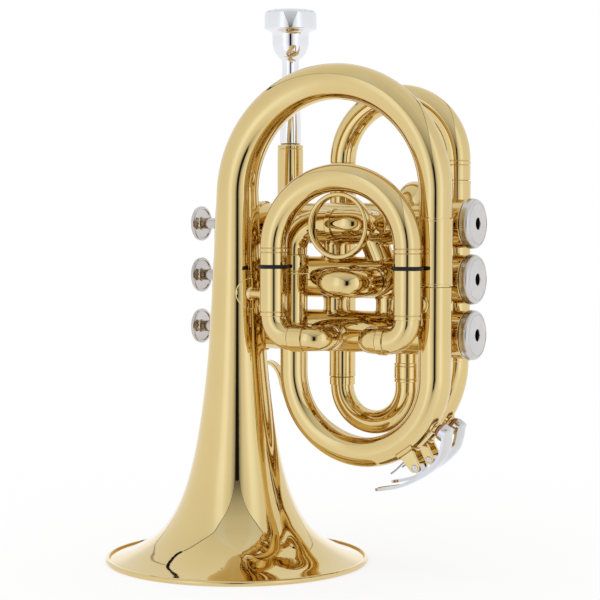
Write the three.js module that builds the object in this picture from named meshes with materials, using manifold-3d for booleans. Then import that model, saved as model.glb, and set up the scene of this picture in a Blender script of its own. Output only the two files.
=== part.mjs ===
// A pocket trumpet standing on its bell: bell, mouthpiece, three piston valves and their slides, made in
// millimetres with +Z up, +X along the valves from finger buttons to bottom caps, and +Y from the bell side to
// the leadpipe side.
import * as THREE from 'three';
import { mergeVertices } from 'three/addons/utils/BufferGeometryUtils.js';
import Module from 'manifold-3d';

const wasm = await Module();
wasm.setup();

// Shared fits: the gap between soldered neighbours, the walls, the play of a slide's leg, and one overrun for
// all cuts
const seat = 0.3;
const wall = 0.75;
const boreWall = 1.15;
const slidePlay = 0.35;
const overshoot = 1;
const weld = 1e-4;

// Facets
const bellSides = 24;
const turnedSides = 18;
const tubeSides = 12;
const smallSides = 12;
const discSides = 10;
const postSides = 10;
const boreSides = 8;
const pinSides = 8;
const wireSides = 5;
const wireSteps = 8;
const bendStep = 18;
const bigArchSteps = 12;
const flareSteps = 16;

// Valve cluster: casings side by side, one cap gap apart, with the third one lowest
const valveCount = 3;
const lowValve = 108.4;
const valveTravel = 17;
const casingRadius = 9.75;
const casingWall = 1.2;
const casingBore = casingRadius - casingWall;
const casingStart = -4.5;
const casingLength = 111.6;
const casingEnd = casingStart + casingLength;
const casingBandWidth = 5.9;
const casingBandRise = 1.15;
const casingBandSlope = 0.4;
const casingBandRadius = casingRadius + casingBandRise;
const capLip = 0.35;
const capGap = 2.5;
const bottomCapRadius = casingBandRadius + capLip;
const valveSpacing = 2 * bottomCapRadius + capGap;
const valveHeights = Array.from({ length: valveCount },
  (_, k) => lowValve + (valveCount - 1 - k) * valveSpacing);
const [topValve, middleValve] = valveHeights;
const alongCasing = (share) => casingStart + share * casingLength;
const pistonRadius = casingBore - slidePlay;
const pistonShoulder = 31.5;
const pistonWall = 1.6;
const pistonFloor = 3;
const pistonStop = 2.4;
const barrelSlim = 0.8;
const barrelInset = 6;
const stemRadius = 2.65;
const buttonRadius = 8.4;
const buttonThick = 2.3;
const buttonSpare = 2.2;
const buttonEdge = 0.5;
const buttonRound = 1.1;
const buttonRecess = 0.9;
const buttonRim = 1.7;
const buttonHub = 4.25;
const topCapRise = 1.05;
const topCapRadius = casingRadius + topCapRise;
const topCapLength = 9.8;
const topCapRound = 2.6;
const topCapRoundShares = [[0.85, 0], [0.23, 0.46], [0, 1]];
const bottomCapBoss = 3.7;
const bottomCapHead = 5;
const capPlate = 2.4;
const bottomCapBevel = 1.6;
const bottomCapBevelRise = 1.2;
const bottomCapEdge = 0.45;
const ventRadius = 2.65;
const springRadius = 5.4;
const springWire = 0.8;
const knuckleSmall = 5.3;
const knuckleWide = 6.4;
const knuckleShares = [[[0.383, 0.383], [0.538, 0.65]], [[0.393, 0.393], [0.639, 0.639]]];

// Second slide, pointing forward from the middle casing
const secondDrop = 1.4;
const secondHeight = middleValve - secondDrop;
const secondMiddleShare = 0.588;
const secondMiddle = alongCasing(secondMiddleShare);
const secondRadius = 6.25;
const secondSleeveRise = 0.6;
const secondSleeveRadius = secondRadius + secondSleeveRise;
const secondGap = 1.3;
const slideSpan = 2 * secondSleeveRadius + secondGap;
const secondLegGap = 2;
const secondSleeveLength = 10.05;
const secondReach = 9.2;

// Third slide, in front of the bell's loop, with its finger ring clear above the second slide
const thirdRadius = 6.2;
const thirdOuterRise = 0.1;
const thirdOuterRadius = thirdRadius + thirdOuterRise;
const collarRise = 0.2;
const collarWidth = 2.3;
const thirdShoulder = 5.5;
const legBore = thirdOuterRadius - wall;
const legRadius = legBore - slidePlay;
const thirdLeftShare = 0.293;
const thirdTurnShares = [0.446, 0.773];
const thirdTurnAngles = [110, 90];
const thirdLeft = alongCasing(thirdLeftShare);
const thirdRise = 31.3;
const fingerRingRadius = 14.85;
const fingerRingBand = 1.9;
const fingerRingDepth = 5;
const fingerRingRoundShare = 0.45;
const fingerRingGap = 4.25;
const fingerRingHeight = secondHeight + secondRadius + fingerRingGap + fingerRingRadius;
const thirdSpring = fingerRingHeight + fingerRingRadius + seat + thirdRadius - thirdRise;
const oRingSection = 0.75;
const oRingProud = 0.15;
const oRingSlack = 0.1;
const oRingSides = 6;
const thirdSlideEnd = thirdSpring - collarWidth - thirdShoulder;
const thirdOuterTop = thirdSlideEnd - 2 * oRingSection - oRingSlack;
const thirdKnuckleDrop = 1.6;
const thirdKnuckleHeight = lowValve - thirdKnuckleDrop;
const thirdKnuckleBend = 9.5;
const thirdKnuckleRadius = 5.65;
const ringCollarRise = 0.5;
const ferruleGap = 0.2;
const thirdOuterCollar = thirdKnuckleHeight + thirdKnuckleBend + ferruleGap;
const thirdLegFoot = 2;

// Bell and its loop, all in one upright plane that just clears the casings; the flare's shares are of the
// height up to the loop and of the growth from throat to rim
const bellRadius = 61.1;
const bellThroat = 9.9;
const bellShares = [
  [0.0233, 0.834], [0.0408, 0.707], [0.0612, 0.592], [0.0875, 0.492], [0.1166, 0.418], [0.1574, 0.342],
  [0.2099, 0.273], [0.2799, 0.211], [0.3615, 0.16], [0.4665, 0.111], [0.5831, 0.072], [0.7289, 0.043],
  [0.8746, 0.02], [1, 0],
];
const bellSheet = 0.9;
const beadRadius = 1.3;
const beadInset = 0.52;
const beadTurnShares = [-0.8, -0.6, -0.4, -0.15, 0.1, 0.35, 0.6];
const stemGap = 0.6;
const taperShares = [0, 0.4, 0.68, 0.84, 1];
const loopInset = 5.3;
const loopSpan = casingEnd - loopInset;
const loopEnd = 7.4;
const sleeveDrop = 7;
const sleeveLength = 29.5;
const sleeveRise = 0.35;
const loopRun = 11;
const sleeveBottom = thirdOuterTop - sleeveDrop;
const sleeveTop = sleeveBottom + sleeveLength;
const loopSpring = sleeveTop + loopRun;
const sleeveRadius = loopEnd + sleeveRise;
const tenonSlim = 0.9;
const tenonRadius = loopEnd - tenonSlim;
const tenonShare = 0.45;
const frontBowDrop = 17.4;
const frontBowLeftShare = 0.3145;
const frontBowEnd = 6.25;
const frontBowLeft = alongCasing(frontBowLeftShare);
const frontBowSpring = lowValve - frontBowDrop;
const branchSocket = 8.3;
const branchStraight = 2.5;
const branchBend = 12;
const branchSlim = 0.2;
const branchSocketRise = 0.4;
const branchRingRise = 0.75;
const branchRingWidth = 2.8;
const branchRingGap = 4.6;
const branchPortShare = 0.6156;
const tightBend = 7;
const branchRadius = frontBowEnd - branchSlim;
const branchSleeveTop = topValve - branchBend - branchStraight;
const branchJoint = branchSleeveTop - branchSocket;
const thirdInset = 6.6;
const thirdRight = loopSpan - thirdInset;
const planeGap = 0.65;

// First slide, pointing back from the top casing
const firstPortShares = [0.6138, 0.7339];
const firstPorts = firstPortShares.map(alongCasing);
const firstRadius = 6.2;
const firstRise = 6.6;
const firstBend = 6.7;
const firstRiserRise = 0.35;
const firstRiserRadius = firstRadius + firstRiserRise;
const firstBore = firstRadius - wall;
const firstLeg = firstBore - slidePlay;
const firstInset = 2.25;
const firstSleeveLength = 13;
const firstReach = 6;
const firstSocket = casingRadius + firstInset;
const firstSleeveEnd = firstSocket + firstSleeveLength;

// Leadpipe side: the rear bow under the third casing, the leadpipe's bow round it, and the main tuning slide
const tuningRadius = 6.25;
const tuningOuterRise = 0.15;
const tuningOuterRadius = tuningRadius + tuningOuterRise;
const tuningBore = tuningOuterRadius - wall;
const tuningLeg = tuningBore - slidePlay;
const rearGap = 3.35;
const rearPlane = casingRadius + tuningOuterRadius + rearGap;
const rearBend = 8;
const rearBowRadius = 5.65;
const rearSleeveRise = 0.6;
const rearSleeveRadius = rearBowRadius + rearSleeveRise;
const rearStraight = 7.4;
const rearSleeveLength = 8.9;
const rearSleeveGap = 2.8;
const rearSocket = 3.7;
const rearBowRightShare = 0.646;
const rearBowRight = alongCasing(rearBowRightShare);
const rearSleeveTop = lowValve - rearBend - rearStraight;
const rearSleeveBottom = rearSleeveTop - rearSleeveLength;
const rearBowSpring = rearSleeveBottom - rearSleeveGap;
const rearBowJoint = rearBowSpring + rearSocket;
const leadpipeX = 3.9;
const leadpipeRadius = 4.8;
const leadpipeGrowth = 0.1;
const leadpipeBowEnd = 5.95;
const leadpipeSocket = 3.8;
const rearBowsGap = 1.8;
const tuningInset = 9.1;
const tuningLeftShare = 0.336;
const tuningLeft = alongCasing(tuningLeftShare);
const tuningRight = loopSpan - tuningInset;
const rearBowRound = (rearBowRight - tuningLeft) / 2;
const leadBowRound = (tuningRight - leadpipeX) / 2;
const rearBowFoot = rearBowSpring - rearBowRound - rearBowRadius;
const leadpipeSpring = rearBowFoot - rearBowsGap - leadpipeBowEnd + leadBowRound;
const leadpipeCollar = leadpipeSpring + leadpipeSocket;
const tuningLift = 20;
const tuningShoulder = 6.8;
const tuningLegFoot = 31.2;
const tuningSlideEnd = topValve + tuningLift;
const receiverLift = 38.1;
const receiverTop = topValve + receiverLift;
const receiverLength = 36;
const receiverRadius = 6.35;
const receiverEdge = 0.5;
const receiverBead = 2.4;
const receiverGroove = 0.35;

// Mouthpiece: the cup's shares are of its rim radius and of its depth from the rim down to the slim neck
const mouthpieceStand = 65;
const mouthpieceTop = receiverTop + mouthpieceStand;
const cupRimRadius = 12.75;
const cupDepth = 28;
const cupInsideShares = [
  [0.25, -0.55], [0.44, -0.44], [0.565, -0.32], [0.62, -0.21], [0.66, -0.09], [0.73, -0.025], [0.85, 0],
  [0.95, -0.021], [1, -0.068], [1, -0.33],
];
const cupOutsideShares = [
  [0.85, -0.368], [0.737, -0.396], [0.7, -0.45], [0.69, -0.586], [0.66, -0.654], [0.6, -0.736], [0.48, -0.81],
  [0.337, -0.864], [0.314, -1],
];
const throatRadius = 1.9;
const throatShares = [-1.07, -0.625];
const shankRadius = 5.25;
const shankBand = 8.2;
const shankMouth = 4.6;
const shankEnd = 4.2;
const shankReach = 21;
const shankBore = 3.2;
const receiverMouth = shankMouth + seat;
const receiverRoot = shankEnd + seat;

// Water keys: heights are over the tube that carries the key, places along it are degrees round its bow
const keyWidth = 5.4;
const plateWidth = 9;
const plateThick = 1.6;
const keyBarrel = 1.9;
const keyPin = 0.8;
const pivotHeight = 6.7;
const corkRadius = 3.1;
const corkDepth = 2.3;
const nippleTop = 1.6;
const nippleRadius = 2.8;
const nippleRoot = 1.5;
const cupDome = 2.4;
const cupRadius = 3.9;
const saddleTurns = [-5, 0, 5];
const saddleSink = 0.4;
const saddleThick = 1;
const pinProud = 0.5;
const webTurns = [-1.8, 1.8];
const webHeight = 4.4;
const lugTurns = [-3.2, 3.2];
const lugThick = 1.6;
const lugHeight = 9;
const saddleReach = 12;
const wireRadius = 0.4;
const wireTurns = [2.4, 5.2, 8.5, 13, 17];
const wireHeightShares = [0.2, 0.21, 0.28, 0.47, 0.62];
const plateTurnShares = [-0.16, 0, 0.2, 0.5, 1, 1.5, 2];
const plateHeightShares = [0.82, 0.925, 1.224, 1.537, 1.582, 1.522, 1.418];
const frontKeyTurns = [-55, -31.4, -82];
const rearKeyTurns = [-54.8, -34.2, -78.5];

// Braces and the finger hook; the hook's shares are of its reach
const hookGap = 0.5;
const hookThick = 1.6;
const hookWidth = 5.2;
const hookReach = 16.25;
const hookSteps = 18;
const hookFootTurns = [214, 206, 198, 194];
const hookCurlShares = [[-0.09, 0.21], [-0.26, 0.39], [-0.5, 0.47], [-0.75, 0.41], [-0.94, 0.2], [-1, -0.1]];
const braceRadius = 2;
const braceDrop = 12;
const braceHeight = thirdOuterTop - braceDrop;
const braceSink = 4;
const flangeRadius = 6.8;
const flangeSheet = 1;
const legFlangeRadius = 3.6;
const legFlangeThick = 1.5;
const loopBraceDrop = 8;
const loopBraceHeight = sleeveBottom - loopBraceDrop;
const loopBraceRadius = 3.4;
const braceSpace = 10;

const brassColor = 0xe2b765;
const silverColor = 0xe9e7e1;
const nickelColor = 0xdad5cb;

const finishes = {
  brass: { color: brassColor, roughness: 0.14, metalness: 1 },
  silver: { color: silverColor, roughness: 0.1, metalness: 1 },
  nickel: { color: nickelColor, roughness: 0.18, metalness: 1 },
  steel: { color: 0x9a9a9c, roughness: 0.25, metalness: 1 },
  rubber: { color: 0x0c0c0c, roughness: 0.6, metalness: 0 },
  cork: { color: 0x9c5a34, roughness: 0.9, metalness: 0 },
};

const xAxis = new THREE.Vector3(1, 0, 0);
const yAxis = new THREE.Vector3(0, 1, 0);
const zAxis = new THREE.Vector3(0, 0, 1);
const back = (axis) => axis.clone().negate();
const at = (x, y, z) => new THREE.Vector3(x, y, z);
const tapered = (from, to) => taperShares.map((share) => THREE.MathUtils.lerp(from, to, share));
const loopRadii = tapered(bellThroat, loopEnd);
const frontBowRadii = tapered(loopEnd, frontBowEnd);
const leadpipeBowRadii = tapered(leadpipeRadius + leadpipeGrowth, leadpipeBowEnd);

// Radius at a share of the way along a list of radii
function radiusAt(radii, share) {
  const where = share * (radii.length - 1);
  const low = Math.min(Math.floor(where), Math.max(radii.length - 2, 0));
  const high = Math.min(low + 1, radii.length - 1);
  return THREE.MathUtils.lerp(radii[low], radii[high], where - low);
}

// The bell's outside as [height, radius] stations, and the planes that clear it
const flare = new THREE.SplineCurve([
  new THREE.Vector2(beadRadius, bellRadius),
  ...bellShares.map(([up, out]) =>
    new THREE.Vector2(up * loopSpring, THREE.MathUtils.lerp(bellThroat, bellRadius, out))),
]).getPoints(flareSteps);
function stemAt(height) {
  const k = flare.findIndex((station) => station.x >= height);
  const share = THREE.MathUtils.inverseLerp(flare[k - 1].x, flare[k].x, height);
  return THREE.MathUtils.lerp(flare[k - 1].y, flare[k].y, share);
}
const bellPlane = -casingRadius - stemAt(lowValve) - stemGap;
const thirdPlane = bellPlane - frontBowRadii[0] - thirdOuterRadius - planeGap;

const trumpet = new THREE.Group();

function add(name, geometry, finish) {
  const mesh = new THREE.Mesh(geometry, new THREE.MeshStandardMaterial(finishes[finish]));
  mesh.name = name;
  trumpet.add(mesh);
  return mesh;
}

// Leaves only shared positions and whole triangles, wound so that the faces point out
function closed(geometry) {
  let bare = geometry.clone();
  bare.deleteAttribute('normal');
  bare.deleteAttribute('uv');
  bare = mergeVertices(bare, weld);
  const place = bare.attributes.position;
  const index = Array.from(bare.index.array);
  const kept = [];
  let volume = 0;
  const corner = [at(0, 0, 0), at(0, 0, 0), at(0, 0, 0)];
  for (let i = 0; i < index.length; i += 3) {
    const [a, b, c] = index.slice(i, i + 3);
    if (a === b || b === c || a === c) continue;
    kept.push(a, b, c);
    [a, b, c].forEach((v, k) => corner[k].fromBufferAttribute(place, v));
    volume += corner[0].dot(corner[1].clone().cross(corner[2]));
  }
  if (volume < 0) kept.reverse();
  bare.setIndex(kept);
  bare.computeVertexNormals();
  return bare;
}

function toSolid(geometry) {
  const bare = closed(geometry);
  return new wasm.Manifold(new wasm.Mesh({
    numProp: 3,
    vertProperties: new Float32Array(bare.attributes.position.array),
    triVerts: new Uint32Array(bare.index.array),
  }));
}

function fromSolid(solid) {
  const mesh = solid.getMesh();
  const geometry = new THREE.BufferGeometry();
  geometry.setAttribute('position', new THREE.BufferAttribute(new Float32Array(mesh.vertProperties), 3));
  geometry.setIndex(Array.from(mesh.triVerts));
  geometry.computeVertexNormals();
  return geometry;
}

const join = (...pieces) => fromSolid(pieces.map(toSolid).reduce((whole, piece) => whole.add(piece)));
const common = (piece, space) => fromSolid(toSolid(piece).intersect(toSolid(space)));
const cut = (piece, ...tools) =>
  fromSolid(tools.map(toSolid).reduce((left, tool) => left.subtract(tool), toSolid(piece)));

// Turned pieces: a profile of [radius, distance along the axis] pairs; a hollow one closes on itself
function turned(profile, sides, axis, origin) {
  const lathe = new THREE.LatheGeometry(profile.map(([r, s]) => new THREE.Vector2(r, s)), sides);
  lathe.applyQuaternion(new THREE.Quaternion().setFromUnitVectors(yAxis, axis));
  lathe.translate(origin.x, origin.y, origin.z);
  return closed(lathe);
}

function tube(outer, bore, start, end, sides, axis, origin) {
  const profile = [[bore, start], [outer, start], [outer, end], [bore, end], [bore, start]];
  return turned(profile, sides, axis, origin);
}

const rod = (radius, start, end, sides, axis, origin) =>
  turned([[0, start], [radius, start], [radius, end], [0, end]], sides, axis, origin);

// Skins a list of rings into one closed body; without a loop, both ends are filled by a fan
function skin(rings, looped) {
  const count = rings[0].length;
  const points = rings.flat();
  const index = [];
  const pairs = looped ? rings.length : rings.length - 1;
  for (let i = 0; i < pairs; i++) {
    const low = i * count;
    const high = ((i + 1) % rings.length) * count;
    for (let k = 0; k < count; k++) {
      const next = (k + 1) % count;
      index.push(low + k, low + next, high + next, low + k, high + next, high + k);
    }
  }
  if (!looped) {
    for (const [ring, turn] of [[0, true], [rings.length - 1, false]]) {
      const middle = points.length;
      points.push(rings[ring].reduce((sum, p) => sum.add(p), at(0, 0, 0)).divideScalar(count));
      for (let k = 0; k < count; k++) {
        const pair = [ring * count + k, ring * count + (k + 1) % count];
        index.push(middle, ...(turn ? pair.reverse() : pair));
      }
    }
  }
  const geometry = new THREE.BufferGeometry();
  geometry.setAttribute('position', new THREE.Float32BufferAttribute(points.flatMap((p) => p.toArray()), 3));
  geometry.setIndex(index);
  return closed(geometry);
}

// A bent strip: follows points in a plane of constant y, with its width across that plane
function ribbon(points, thick, width) {
  const sides = points.map((p, i) => {
    const along = points[Math.min(i + 1, points.length - 1)].clone().sub(points[Math.max(i - 1, 0)])
      .normalize();
    const across = new THREE.Vector2(-along.z, along.x).multiplyScalar(thick / 2);
    const middle = new THREE.Vector2(p.x, p.z);
    return [middle.clone().add(across), middle.clone().sub(across)];
  });
  const outline = new THREE.Shape([
    ...sides.map(([left]) => left), ...sides.map(([, right]) => right).reverse(),
  ]);
  const slab = new THREE.ExtrudeGeometry(outline, { depth: width, bevelEnabled: false });
  slab.rotateX(Math.PI / 2);
  slab.translate(0, points[0].y + width / 2, 0);
  return closed(slab);
}

// A tube's route: straight runs, bends and arches, with its radius and bore at every station. The stations
// are lofted into one closed body, because one drawn tube swells, steps and bends along its length.
class Route {
  constructor(start, heading, radius, bore = 0, sides = tubeSides, slim = 0) {
    this.place = start.clone();
    this.heading = heading.clone().normalize();
    this.side = Math.abs(this.heading.y) > 0.9 ? zAxis.clone() : yAxis.clone();
    this.side.addScaledVector(this.heading, -this.side.dot(this.heading)).normalize();
    this.radius = radius;
    this.bore = bore;
    this.sides = sides;
    this.slim = slim;
    this.stations = [];
    this.mark();
  }

  mark() {
    const across = this.heading.clone().cross(this.side);
    const ring = (r) => Array.from({ length: this.sides }, (_, k) => {
      const turn = (2 * Math.PI * k) / this.sides;
      return this.place.clone().addScaledVector(this.side, r * Math.cos(turn))
        .addScaledVector(across, r * Math.sin(turn));
    });
    this.stations.push({
      outer: ring(this.radius - this.slim), inner: this.bore > 0 ? ring(this.bore) : null,
    });
    return this;
  }

  face(heading) {
    const swing = new THREE.Quaternion().setFromUnitVectors(this.heading, heading);
    this.side.applyQuaternion(swing).normalize();
    this.heading.copy(heading);
  }

  run(length) {
    this.place.addScaledVector(this.heading, length);
    return this.mark();
  }

  step(radius, bore = this.bore) {
    this.radius = radius;
    this.bore = bore;
    return this.mark();
  }

  // Follows half an ellipse over to a parallel leg, with the radius passing through the listed radii
  arch(span, rise, toward, radii = [this.radius], steps = Math.round(180 / bendStep)) {
    const start = this.place.clone();
    const up = this.heading.clone();
    for (let i = 1; i <= steps; i++) {
      const share = i / steps;
      const turn = Math.PI * share;
      this.place.copy(start).addScaledVector(toward, (span / 2) * (1 - Math.cos(turn)))
        .addScaledVector(up, rise * Math.sin(turn));
      this.face(toward.clone().multiplyScalar((span / 2) * Math.sin(turn))
        .addScaledVector(up, rise * Math.cos(turn)).normalize());
      this.radius = radiusAt(radii, share);
      this.mark();
    }
    return this;
  }

  bend(bendRadius, degrees, toward) {
    const start = this.place.clone();
    const from = this.heading.clone();
    const steps = Math.max(2, Math.round(degrees / bendStep));
    for (let i = 1; i <= steps; i++) {
      const turn = THREE.MathUtils.degToRad((degrees * i) / steps);
      this.place.copy(start).addScaledVector(from, bendRadius * Math.sin(turn))
        .addScaledVector(toward, bendRadius * (1 - Math.cos(turn)));
      this.face(from.clone().multiplyScalar(Math.cos(turn)).addScaledVector(toward, Math.sin(turn)));
      this.mark();
    }
    return this;
  }

  body() {
    const outer = this.stations.map((s) => s.outer);
    const inner = this.stations.map((s) => s.inner);
    if (inner.every((ring) => ring)) return skin([...outer, ...inner.reverse()], true);
    const fromStart = inner[0] !== null;
    const bored = inner.filter((ring) => ring);
    if (bored.length === 0) return skin(outer, false);
    return skin(fromStart ? [...bored.reverse(), ...outer] : [...outer, ...bored.reverse()], false);
  }
}

// A tube with its bore right through: the trace is walked twice, the second time as the bore to cut
function hollow(start, heading, radius, trace) {
  const outer = trace(new Route(start, heading, radius));
  const inside = start.clone().addScaledVector(heading, -overshoot);
  const inner = trace(new Route(inside, heading, radius, 0, boreSides, boreWall).run(overshoot));
  return cut(outer.body(), inner.run(overshoot).body());
}

// The casings, less which every tube that meets them is trimmed
const casingSpace = valveHeights.map((z) =>
  rod(casingRadius + seat, casingStart, casingEnd, turnedSides, xAxis, at(0, 0, z)));

// Bell: spun flare with a rolled rim, its stem and the top bow in one piece, down to the tenon in the sleeve
{
  const bellAt = (z) => at(0, bellPlane, z);
  const rings = [];
  const ringAt = (z, r) => Array.from({ length: bellSides }, (_, k) => {
    const turn = (2 * Math.PI * k) / bellSides;
    return bellAt(z).add(at(-r * Math.sin(turn), r * Math.cos(turn), 0));
  });
  const throat = flare[flare.length - 1];
  for (let i = flare.length - 1; i >= 1; i--) {
    rings.push(ringAt(flare[i].x, flare[i].y - bellSheet));
  }
  for (const share of beadTurnShares) {
    const turn = Math.PI * share;
    rings.push(ringAt(beadRadius * (1 + Math.sin(turn)),
      bellRadius - beadInset + beadRadius * Math.cos(turn)));
  }
  for (let i = 1; i < flare.length; i++) rings.push(ringAt(flare[i].x, flare[i].y));
  const loop = (route) => route.arch(loopSpan, loopSpan / 2, xAxis, loopRadii, bigArchSteps)
    .run(loopSpring - sleeveTop - seat).step(tenonRadius).run((sleeveTop - sleeveBottom) * tenonShare);
  const bow = new Route(bellAt(throat.x), zAxis, throat.y, 0, bellSides);
  bow.stations.length = 0;
  rings.push(...loop(bow).stations.map((s) => s.outer));
  const bore = new Route(bellAt(throat.x - overshoot), zAxis, throat.y, 0, boreSides, boreWall)
    .run(overshoot);
  add('bell', cut(skin(rings, false), loop(bore).run(overshoot).body()), 'brass');
}
add('bell_sleeve', tube(sleeveRadius, tenonRadius + seat, sleeveBottom, sleeveTop, tubeSides, zAxis,
  at(loopSpan, bellPlane, 0)), 'brass');

// Front bow: up from its tenon in the sleeve, round the bottom, to the joint of the valve branch
{
  const [top] = frontBowRadii;
  const span = loopSpan - frontBowLeft;
  const tenon = (sleeveTop - sleeveBottom) * tenonShare;
  const start = at(loopSpan, bellPlane, sleeveBottom + tenon);
  add('front_bow', hollow(start, back(zAxis), tenonRadius, (route) => route.run(tenon + seat).step(top)
    .run(sleeveBottom - seat - frontBowSpring).arch(span, span / 2, back(xAxis), frontBowRadii)
    .run(branchJoint - frontBowSpring - seat)), 'brass');
}

// Valve branch: socket, elbow across the first casing, ring, and a tight turn into its port
{
  const route = new Route(at(frontBowLeft, bellPlane, branchJoint), zAxis, frontBowEnd + branchSocketRise);
  route.run(branchSocket).step(branchRadius).run(branchStraight).bend(branchBend, 90, xAxis);
  const turn = alongCasing(branchPortShare) - tightBend;
  route.run(turn - branchRingGap - branchRingWidth - frontBowLeft - branchBend);
  route.step(branchRadius + branchRingRise).run(branchRingWidth).step(branchRadius);
  route.run(branchRingGap).bend(tightBend, 90, yAxis).run(-bellPlane - tightBend - casingRadius / 2);
  add('bell_branch', cut(route.body(), casingSpace[0]), 'brass');
}

// Third slide: arched bow, collars, inner legs; it carries the finger ring and the two rubber rings
{
  const collar = thirdRadius + collarRise;
  const foot = thirdOuterCollar + thirdLegFoot;
  add('third_slide', hollow(at(thirdLeft, thirdPlane, foot), zAxis, legRadius, (route) => route
    .run(thirdSlideEnd - foot).step(thirdRadius).run(thirdShoulder).step(collar).run(collarWidth)
    .step(thirdRadius)
    .arch(thirdRight - thirdLeft, thirdRise, xAxis, [thirdRadius], bigArchSteps).step(collar).run(collarWidth)
    .step(thirdRadius).run(thirdShoulder).step(legRadius).run(thirdSlideEnd - foot)), 'brass');
}
for (const [k, side, x, inward] of [[0, 'left', thirdLeft, xAxis], [1, 'right', thirdRight, back(xAxis)]]) {
  const route = new Route(at(x, thirdPlane, thirdOuterTop), back(zAxis), thirdOuterRadius, legBore);
  route.run(thirdOuterTop - thirdOuterCollar).step(thirdKnuckleRadius, 0);
  route.run(thirdOuterCollar - thirdKnuckleHeight - thirdKnuckleBend).bend(thirdKnuckleBend, 90, inward);
  const level = Math.abs(alongCasing(thirdTurnShares[k]) - x) - thirdKnuckleBend;
  route.step(thirdKnuckleRadius + ringCollarRise).run(level).step(thirdKnuckleRadius);
  route.bend(tightBend, thirdTurnAngles[k], yAxis);
  route.run((-route.place.y - casingRadius / 2) / route.heading.y);
  add(`third_outer_${side}`, cut(route.body(), casingSpace[2]), 'brass');
  const section = Array.from({ length: oRingSides + 1 }, (_, k) => {
    const around = (2 * Math.PI * k) / oRingSides;
    return [thirdOuterRadius + oRingProud + oRingSection * Math.cos(around), oRingSection * Math.sin(around)];
  });
  const spot = at(x, thirdPlane, (thirdOuterTop + thirdSlideEnd) / 2);
  add(`o_ring_${side}`, turned(section, tubeSides, zAxis, spot), 'rubber');
}
{
  const middle = (thirdLeft + thirdRight) / 2;
  const half = fingerRingDepth / 2;
  const inside = fingerRingRadius - fingerRingBand;
  const round = fingerRingBand * fingerRingRoundShare;
  const profile = [
    [inside, -half + round], [inside + round, -half], [fingerRingRadius - round, -half],
    [fingerRingRadius, -half + round], [fingerRingRadius, half - round], [fingerRingRadius - round, half],
    [inside + round, half], [inside, half - round], [inside, -half + round],
  ];
  add('finger_ring', turned(profile, bellSides, yAxis, at(middle, thirdPlane, fingerRingHeight)), 'brass');
}

// Second slide: forward U with its two sleeves on the middle casing
{
  const left = secondMiddle - slideSpan / 2;
  const bore = secondSleeveRadius - wall;
  const leg = bore - slidePlay;
  const inside = secondSleeveLength - secondLegGap + seat;
  const straight = secondReach - seat;
  const route = new Route(at(left, -casingRadius - secondLegGap, secondHeight), back(yAxis), leg);
  route.run(inside).step(secondRadius).run(straight).arch(slideSpan, slideSpan / 2, xAxis, [secondRadius]);
  route.run(straight).step(leg).run(inside);
  add('second_slide', route.body(), 'brass');
  [left, left + slideSpan].forEach((x, k) => {
    const sleeve = tube(secondSleeveRadius, bore, -casingRadius - secondSleeveLength, -casingRadius / 2,
      tubeSides, yAxis, at(x, 0, secondHeight));
    add(`second_outer_${k + 1}`, cut(sleeve, casingSpace[1]), 'brass');
  });
}

// First slide: one tube leaves the first casing at its back, the other rises and turns back over it; the U
// joins them
{
  const low = at(firstPorts[0], firstSleeveEnd, valveHeights[0]);
  const high = at(firstPorts[1], firstSleeveEnd, topValve + firstRise + firstBend);
  const across = high.clone().sub(low);
  const span = across.length();
  across.normalize();
  const straight = new Route(at(low.x, casingRadius / 2, low.z), yAxis, firstRadius);
  straight.run(firstSocket - casingRadius / 2).step(firstRadius, firstBore).run(firstSleeveLength);
  add('first_outer_1', cut(straight.body(), casingSpace[0]), 'brass');
  const riser = new Route(at(high.x, 0, valveHeights[0]), zAxis, firstRiserRadius);
  riser.run(firstRise).step(firstRadius).bend(firstBend, 90, yAxis);
  riser.run(firstSocket - firstBend).step(firstRadius, firstBore).run(firstSleeveLength);
  add('first_outer_2', cut(riser.body(), casingSpace[0]), 'brass');
  const route = new Route(low.clone().setY(firstSocket + seat), yAxis, firstLeg);
  route.run(firstSleeveLength).step(firstRadius).run(firstReach - seat);
  route.arch(span, span / 2, across, [firstRadius]).run(firstReach - seat).step(firstLeg)
    .run(firstSleeveLength);
  add('first_slide', route.body(), 'brass');
}

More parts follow.
